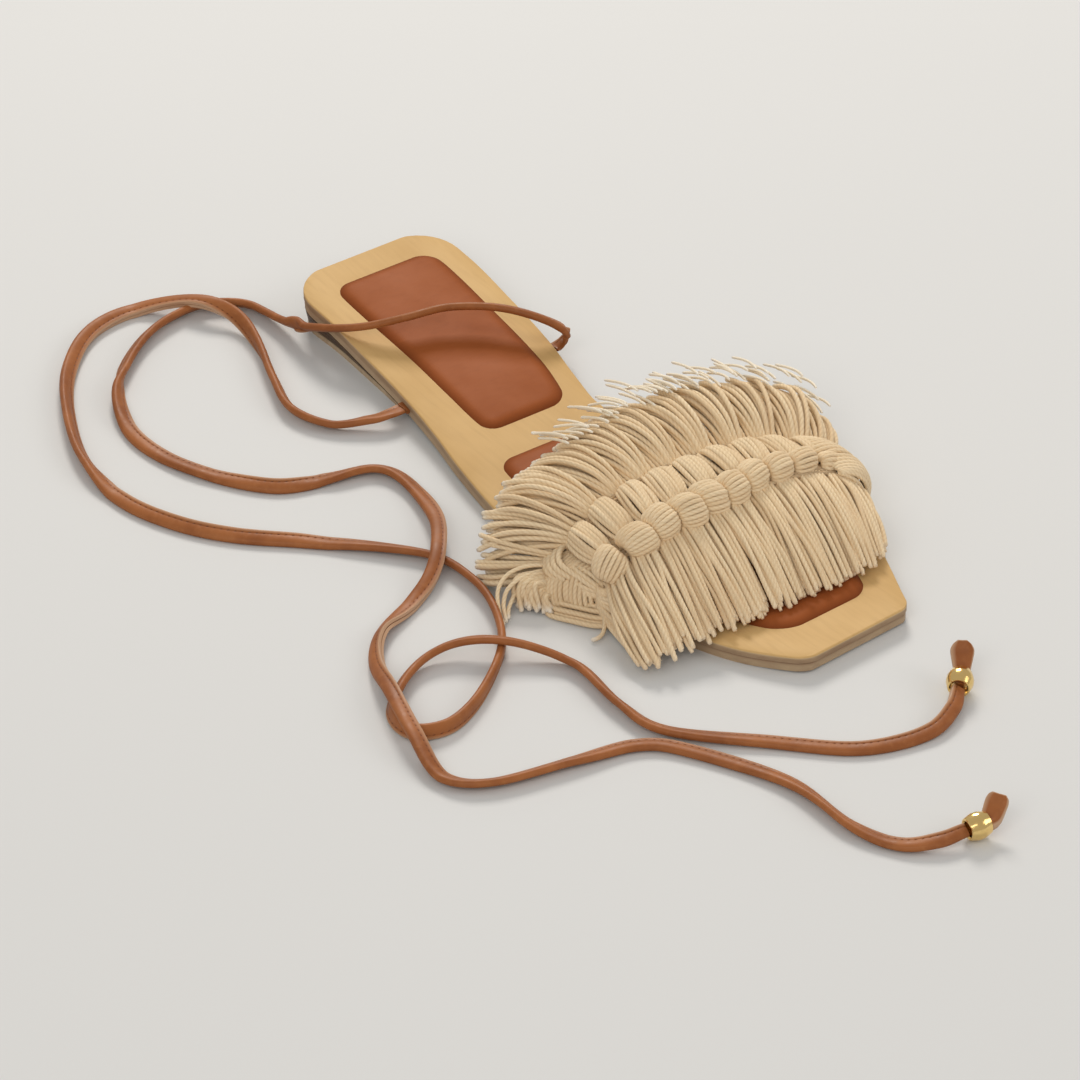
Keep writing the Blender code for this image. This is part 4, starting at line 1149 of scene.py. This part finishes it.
def knot_line(centre_share, centre_across, along, toward, height):
    """A line over the band from offsets in metres along its arch and towards the toe."""
    share = centre_share + np.asarray(along) / ARCH_LENGTH
    across = centre_across + np.asarray(toward) / half_width(centre_share)
    return on_band(share, across, np.asarray(height) + wall(centre_share))


# Middles of the wrapped knots: share of the arch, across from -1 heel to 1 toe, half their length
# along the strands and their girth, in millimetres
FRONT_KNOTS = [
    (0.086, 0.92, 4.5, 5.2), (0.174, 0.99, 4.4, 5.4), (0.260, 0.92, 4.1, 5.6), (0.345, 0.98, 3.9, 5.5),
    (0.430, 0.86, 3.9, 5.5), (0.516, 0.85, 3.8, 5.3), (0.604, 0.67, 4.0, 5.0), (0.692, 0.61, 4.1, 4.5),
    (0.784, 0.48, 4.5, 4.0), (0.880, 0.46, 4.9, 3.3),
]
REAR_KNOTS = [
    (0.018, 0.02, 6.6, 3.4), (0.102, -0.36, 7.8, 3.2), (0.190, -0.34, 8.2, 3.3), (0.285, -0.24, 8.6, 3.4),
    (0.382, -0.20, 8.8, 3.4), (0.486, -0.20, 8.8, 3.4), (0.592, -0.28, 8.4, 3.2), (0.690, -0.36, 7.8, 2.9),
    (0.786, -0.42, 7.2, 2.6), (0.880, -0.46, 6.6, 2.2),
]


def crest_stretch(share, across, rise):
    """How much wider the band is at the top of a knot than at its foot."""
    step = 0.01
    ends = on_band(np.array((share - step, share + step)), across, wall(share) + rise)
    return max(np.linalg.norm(ends[1] - ends[0]) / (2 * step * ARCH_LENGTH), 0.9)


def level_marks(reach, under):
    return {label: np.full(len(reach), 0.4) for label in ("ply", "shade", "cut")}


def make_band():
    """Wall of the band and core cords along it, in darker cotton as painted shade, two staggered rows of
    wrapped knots and its ends.
    """
    shares = np.linspace(0.0, 1.0, 61)
    columns = np.linspace(-1.0, 1.0, 13)
    inner = [[on_band(share, across, 0.0002) for across in columns] for share in shares]
    outer = []
    for share in shares:
        thick = max(wall(share) - 0.0009, 0.0006)
        outer.append([on_band(share, across, thick) for across in columns])
    blank = [[0.0] * len(columns) for _ in shares]
    close_sheet("band_wall", outer, inner, blank, "core", ("upper_band",), level_marks, 60.0)

    draw = random.Random(11)
    core = Strands(draw)
    rows = 15
    line = np.linspace(-0.005, 1.005, 90)
    height = np.array([wall(value) - 0.0006 for value in line])
    for i in range(rows):
        across = -0.98 + 1.96 * i / (rows - 1)
        core.add(on_band(line, across, height), shade=draw.random(), cut=UNCUT)
    core.piece("band_core_cords", finish="core")

    rear, front, ends = Strands(draw), Strands(draw), Strands(draw)
    for share, across, reach, rise in REAR_KNOTS:
        make_rear_knot(rear, share, across, reach * MM, rise * MM)
    for share, across, reach, girth in FRONT_KNOTS:
        make_front_knot(front, share, across, reach * MM, girth * MM)
    make_lateral_end(ends)
    make_medial_end(ends)
    rear.piece("rear_knots")
    front.piece("front_knots")
    ends.piece("band_end_wraps")


def make_rear_knot(strands, share, across, reach, rise):
    """A broad wrap whose strands run from the instep to the toe, where they tuck in between knots."""
    draw = strands.draw
    count = 9
    half = 0.0047
    turn = np.radians(np.linspace(-100.0, 100.0, 19))
    crown = np.clip(np.cos(turn), 0.0, 1.0) ** 0.7
    gather = np.where(turn > 0, 0.40 + 0.60 * crown, 0.64 + 0.36 * crown)
    tilt = draw.uniform(-0.26, -0.02)
    stretch = crest_stretch(share, across, rise)
    for j in range(count):
        offset = half * (2 * j / (count - 1) - 1)
        round_off = math.sqrt(1 - (offset / (half * 1.04)) ** 2)
        toward = reach * np.sin(turn)
        height = rise * crown * (0.12 + 0.98 * round_off) + 0.0012 * np.cos(turn) - 0.0010
        sway = draw.gauss(0, 0.00022) * np.cos(turn) + draw.gauss(0, 0.00018) * np.sin(2 * turn)
        along = offset * gather + tilt * toward + sway
        height = height + draw.gauss(0, 0.00020) * crown
        strands.add(
            knot_line(share, across, along / stretch, toward, height),
            radius=CORD_RADIUS * draw.uniform(0.96, 1.14), shade=draw.random() * 0.8, cut=UNCUT,
        )


def make_front_knot(strands, share, across, reach, girth):
    """A round knot: strands along the band, wrapped over its top and down its toe side."""
    draw = strands.draw
    gap = 0.00144
    first, last = -66.0, 118.0
    count = int(math.radians(last - first) * girth / gap) + 1
    turn = np.radians(np.linspace(-90.0, 90.0, 17))
    swell = 0.22 + 0.78 * np.cos(turn) ** 0.42
    tilt = draw.uniform(-0.38, 0.20)
    stretch = crest_stretch(share, across, girth * 0.6)
    for j in range(count):
        angle = math.radians(first + (last - first) * j / (count - 1))
        along = reach * np.sin(turn)
        around = girth * (swell + draw.gauss(0, 0.03))
        toward = around * math.sin(angle) + tilt * along
        height = around * math.cos(angle) + girth * 0.12
        strands.add(
            knot_line(share, across, along / stretch, toward, height),
            radius=CORD_RADIUS * draw.uniform(0.92, 1.10), shade=draw.random() * 0.8, cut=UNCUT,
        )


def ladder(strands, starts, ends, count, radius, bulge):
    """Strands side by side, each through places that go from one given line to another."""
    for j in range(count):
        t = j / (count - 1)
        swell = bulge * (1 - (2 * t - 1) ** 2)
        points = []
        for k, (one, other) in enumerate(zip(starts, ends)):
            x, s, z = ((1 - t) * a + t * b for a, b in zip(one, other))
            out = swell if 0 < k < len(starts) - 1 else 0.0
            points.append((x - out, s + 0.4 * out, z))
        strands.lay(points, 8, radius=radius, shade=0.2 + 0.6 * strands.draw.random(), cut=UNCUT)


# Wraps at the outer end: first and last strand in millimetres, how many, their radius and bulge
OUTER_WRAPS = [
    ([(-42.5, 178.5, 13.2), (-50.4, 178.6, 11.4), (-54.2, 181.0, 6.4), (-54.3, 182.9, 1.8),
      (-50.0, 182.0, 1.0)],
     [(-41.0, 186.5, 13.0), (-46.0, 185.2, 11.4), (-50.2, 187.2, 6.9), (-50.3, 189.2, 2.4),
      (-46.0, 188.5, 1.2)],
     6, 0.00082, 0.9),
    ([(-44.5, 171.0, 12.8), (-54.6, 173.6, 9.8), (-59.0, 176.6, 5.6), (-58.8, 178.9, 1.8),
      (-54.0, 179.0, 1.0)],
     [(-42.5, 177.5, 13.2), (-50.9, 178.3, 11.2), (-54.6, 180.2, 6.4), (-54.6, 182.2, 1.8),
      (-50.5, 182.0, 1.0)],
     6, 0.00082, 0.9),
    ([(-45.0, 166.0, 10.5), (-52.0, 168.4, 11.4), (-56.4, 173.4, 10.4), (-55.4, 178.6, 8.2)],
     [(-44.0, 169.5, 13.5), (-50.0, 172.0, 14.2), (-53.2, 176.2, 12.8), (-51.2, 181.8, 10.4)],
     4, 0.00095, 0.5),
]
# Cords of the low roll under them: the line of the first, and how far each lies from it
OUTER_ROLL = [
    (-60.4, 178.4, 0.0), (-61.4, 182.4, 0.0), (-58.2, 189.0, 0.2), (-54.4, 195.0, 0.3), (-49.5, 199.0, 0.6),
]
OUTER_ROLL_STEPS = [
    (0.0, 0.0, 1.0), (1.9, -1.3, 2.2), (3.9, -2.4, 3.0), (1.7, -1.0, 0.9), (3.4, -2.0, 1.4),
    (5.6, -3.4, 3.4),
]


def make_lateral_end(strands):
    """Square wraps at the outer side of the sole over a low roll, and cords curling to the floor."""
    draw = strands.draw
    for wrap in OUTER_WRAPS:
        ladder(strands, *wrap)
    for step in OUTER_ROLL_STEPS:
        line = [tuple(value + move for value, move in zip(point, step)) for point in OUTER_ROLL]
        strands.lay(line, radius=CORD_RADIUS * 1.05, shade=0.3 + 0.5 * draw.random(), cut=UNCUT)
    count = 26
    for j in range(count):
        u = (j + 0.5) / count
        jitter = [draw.gauss(0, 1.0) for _ in range(6)]
        root = (-54.0 - 2.0 * u, 172.4 + 6.0 * u, 8.8 - 5.4 * u)
        middle = (
            -64.5 + 4.2 * u + jitter[0], 170.6 + 9.0 * u + jitter[1], 9.0 - 5.4 * u + abs(jitter[2])
        )
        tip = (-68.0 + 7.6 * u + jitter[3], 172.6 + 10.4 * u + jitter[4], 0.9 + abs(jitter[5]) * 0.8)
        strands.lay((root, middle, tip), 12, shade=draw.random())


def make_medial_end(strands):
    """Cords that sweep over the inner end of the band in a thick roll and down to the sole."""
    count = 22
    t = np.linspace(0.0, 1.0, 22)
    for j in range(count):
        turn = math.radians(-100.0 + 212.0 * j / (count - 1))
        across = 0.03 + 1.20 * math.sin(turn)
        crest = math.copysign(abs(math.cos(turn)) ** 0.6, math.cos(turn))
        share = 0.850 + 0.175 * t + 0.012 * abs(across)
        thick = 0.0008 + 0.0048 * np.sin(np.clip(t * 1.05, 0, 1) * math.pi) ** 0.75 * crest
        height = np.array([wall(value) for value in share]) + thick
        bow = across * (1 - 0.16 * t) + 0.16 * np.sin(t * math.pi) * (across > 0.3)
        strands.add(
            on_band(share, bow, height), radius=CORD_RADIUS * 1.05,
            shade=0.1 + 0.5 * strands.draw.random(), cut=UNCUT,
        )


# Fringes


def support(x, s):
    """Height of what lies under a cord's tip: the pad or board, or the floor beside them."""
    lateral, medial = edges(min(s, SOLE_LENGTH))
    inside = lateral - FRINGE_SIDE < x < medial + FRINGE_SIDE
    return board_top(s) + PAD_RISE if inside else 0.0


def fringe_path(side, root_share, tip_share, tips, profile, length, thick, lift, root_layer, tip_layer):
    """A cord from the band's edge over its bend to its tip; layers are shares of the half thickness."""
    edge_wall = wall(root_share)
    root = on_band(root_share, side, edge_wall / 2)
    face = on_band(root_share, side, edge_wall / 2 + 0.001)
    normal = (face - root) / 0.001
    spread = on_band(tip_share, side, edge_wall / 2) - root
    reach = length * np.array([curve_value(tips, tip_share, column) for column in (1, 2, 3)])
    tip = root + spread + np.array((reach[0], -reach[1], reach[2]))
    low = support(tip[0] - AXIS_X, MIDDLE - tip[1]) + thick * curve_value(profile, 1.0) / 2 + CLEARANCE
    tip[2] = max(tip[2], low)
    bend = root * (1 - FRINGE_BEND) + tip * FRINGE_BEND + normal * lift * length
    t = np.linspace(0.0, 1.0, 22)[:, None]
    line = root * (1 - t) ** 2 + bend * 2 * t * (1 - t) + tip * t**2
    half = np.array([curve_value(profile, value) for value in t[:, 0]])[:, None] * thick / 2
    layer = root_layer + (tip_layer - root_layer) * t
    line = line + normal * half * layer
    line[:, 2] = np.maximum(line[:, 2], CORD_RADIUS + FLOOR_GAP)
    return line


def tuck_in(side, share, across, depth, path):
    """A fringe cord with its root carried back under the knots."""
    return np.vstack([on_band(share, side * across, wall(share) * depth), path])


def make_toe_fringe():
    """Straight cords lying forward over the toes in three layers, the lowest of them plain."""
    draw = random.Random(5)
    for name, layer, count, section, spacing, replaced in (
        ("toe_fringe_upper", 0.62, 68, PLY_SECTION, CORD_SPACING, ("fringe_toe",)),
        ("toe_fringe_middle", 0.0, 66, PLY_SECTION, CORD_SPACING, ()),
        ("toe_fringe_lower", -0.62, 62, PLAIN_SECTION, 0.0014, ()),
    ):
        strands = Strands(draw)
        for i in range(count):
            share = 0.030 + 0.925 * (i + 0.5 * (layer == 0.0) + 0.25) / count
            group = min((knot[0] for knot in FRONT_KNOTS), key=lambda middle: abs(middle - share))
            root_share = share + (group - share) * (0.16 if layer > 0 else 0.04)
            tip_share = min(max(share + draw.gauss(0, 0.006), 0.0), 1.0)
            length = TOE_CORD_LENGTH * (1 + draw.gauss(0.0, 0.035))
            path = fringe_path(
                1.0, root_share, tip_share, TOE_TIPS, TOE_LOCK, length, TOE_FRINGE_THICK, TOE_LIFT,
                layer, layer + draw.gauss(0, 0.25),
            )
            t = np.linspace(0.0, 1.0, len(path))
            path[:, 0] += draw.uniform(-0.0008, 0.0008) * np.sin(t * math.pi * draw.uniform(1.2, 2.2))
            # The middle and lower layers get darker shades: painted shade under the upper cords.
            strands.add(
                tuck_in(1.0, root_share, 0.62, 0.75 + 0.15 * layer, path),
                radius=CORD_RADIUS * draw.uniform(0.90, 1.08),
                shade=draw.random() if layer > 0 else 0.8 + 0.4 * draw.random(),
                cut=(0.0, 0.35), section=section, spacing=spacing,
            )
        if layer > 0:
            make_corner_cords(strands)
        strands.piece(name, replaced)


def make_corner_cords(strands):
    """Cords that leave the outer end of the band low down and arch over to the toe fringe's corner."""
    draw = strands.draw
    count = 18
    for j in range(count):
        u = (j + 0.5) / count
        jitter = [draw.gauss(0, 1.0) for _ in range(4)]
        points = [
            (-46.5 - 3.6 * u, 186.0 + 4.0 * u, 9.6 - 6.4 * u),
            (-48.6 - 2.4 * u, 189.6 + 4.4 * u, 9.4 - 6.6 * u),
            (-45.4 - 7.2 * u + jitter[0], 197.0 + 4.6 * u, 9.0 - 6.8 * u + abs(jitter[1]) * 0.5),
            (-49.4 - 6.2 * u + jitter[2], 213.0 + 5.4 * u + jitter[3], 4.4 - 3.3 * u),
        ]
        strands.lay(points, 12, shade=draw.random())


def make_heel_fringe():
    """Bundles of curved cords that spring from the rear knots up and back, over a plain under layer."""
    draw = random.Random(9)
    shares = [0.030] + [knot[0] for knot in REAR_KNOTS[1:]] + [0.955]
    count = 18
    golden = math.pi * (3 - math.sqrt(5))
    for name, bundles, replaced in (
        ("heel_fringe_lateral", shares[:5], ("fringe_heel",)), ("heel_fringe_medial", shares[5:], ()),
    ):
        strands = Strands(draw)
        for centre in bundles:
            for j in range(count):
                radius = math.sqrt((j + 0.5) / count)
                a, b = radius * math.cos(golden * j), radius * math.sin(golden * j)
                root_share = centre + a * 0.0026 / ARCH_LENGTH
                tip_share = centre + a * 0.0066 / ARCH_LENGTH + draw.gauss(0, 0.004)
                length = HEEL_CORD_LENGTH * (0.93 - 0.10 * centre + draw.gauss(0.0, 0.035))
                path = fringe_path(
                    -1.0, root_share, min(max(tip_share, 0.0), 1.0), HEEL_TIPS, HEEL_LOCK, length,
                    HEEL_FRINGE_THICK, HEEL_LIFT, b, b * 0.95 + draw.gauss(0, 0.10),
                )
                strands.add(
                    tuck_in(-1.0, root_share, 0.55, 0.8 + 0.2 * b, path),
                    radius=CORD_RADIUS * draw.uniform(1.0, 1.15), shade=draw.random() * 0.9,
                    spacing=0.00068,
                )
        strands.piece(name, replaced)

    under = Strands(draw)
    count = 62
    for i in range(2 * count):
        share = 0.035 + 0.93 * ((i % count) + 0.5) / count
        layer = -0.85 if i < count else -0.20
        length = HEEL_CORD_LENGTH * (0.88 - 0.08 * share + draw.gauss(0.0, 0.03))
        path = fringe_path(
            -1.0, share, min(max(share + draw.gauss(0, 0.004), 0.0), 1.0), HEEL_TIPS, HEEL_LOCK, length,
            HEEL_FRINGE_THICK, HEEL_LIFT * (0.90 + 0.1 * layer), layer, layer + draw.gauss(0, 0.12),
        )
        # The under layer gets darker shades: painted shade behind the bundles.
        under.add(
            tuck_in(-1.0, share, 0.7, 0.4, path), shade=0.4 + 0.6 * draw.random(),
            section=PLAIN_SECTION, spacing=0.0012,
        )
    under.piece("heel_fringe_under")
    make_wisps(draw)


def make_wisps(draw):
    """Thin pale threads past the ends of the back cords, and loose strands at the outer end."""
    wisps = Strands()
    count = 64
    for i in range(count):
        share = 0.30 + 0.68 * (i + draw.random()) / count
        length = HEEL_CORD_LENGTH * (0.98 + draw.gauss(0.03, 0.07))
        tip_share = min(share + draw.gauss(0, 0.012), 1.0)
        path = fringe_path(
            -1.0, share, tip_share, HEEL_TIPS, HEEL_LOCK, length, HEEL_FRINGE_THICK,
            HEEL_LIFT * draw.uniform(0.95, 1.15), draw.uniform(0.0, 0.9), draw.uniform(0.2, 1.3),
        )
        path[:, 2] += 0.0035 * draw.random() * np.linspace(0.0, 1.0, len(path)) ** 3
        wisps.add(path[14:], radius=0.00046, shade=0.0, cut=(1.0, 1.0), section=PLAIN_SECTION, spacing=0.0009)
    wisps.piece("loose_threads", finish="thread")
    loose = Strands()
    for points in LOOSE_STRANDS:
        loose.lay(points, radius=0.00070, shade=0.1)
    loose.piece("loose_strands")


def finish_crossing():
    """The stretch of strap under the board keeps its own shape."""
    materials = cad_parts["tie_crossing"].data.materials
    materials.clear()
    materials.append(FINISHES["tie"])


make_camera()
make_studio()
make_ties()
make_sole()
make_pad("heel_cushion", HEEL_PAD_PLAN, HEEL_PAD, "heel_pad")
make_pad("forefoot_cushion", FOREFOOT_PAD_PLAN, FOREFOOT_PAD, "forefoot_pad")
finish_crossing()
make_band()
make_toe_fringe()
make_heel_fringe()
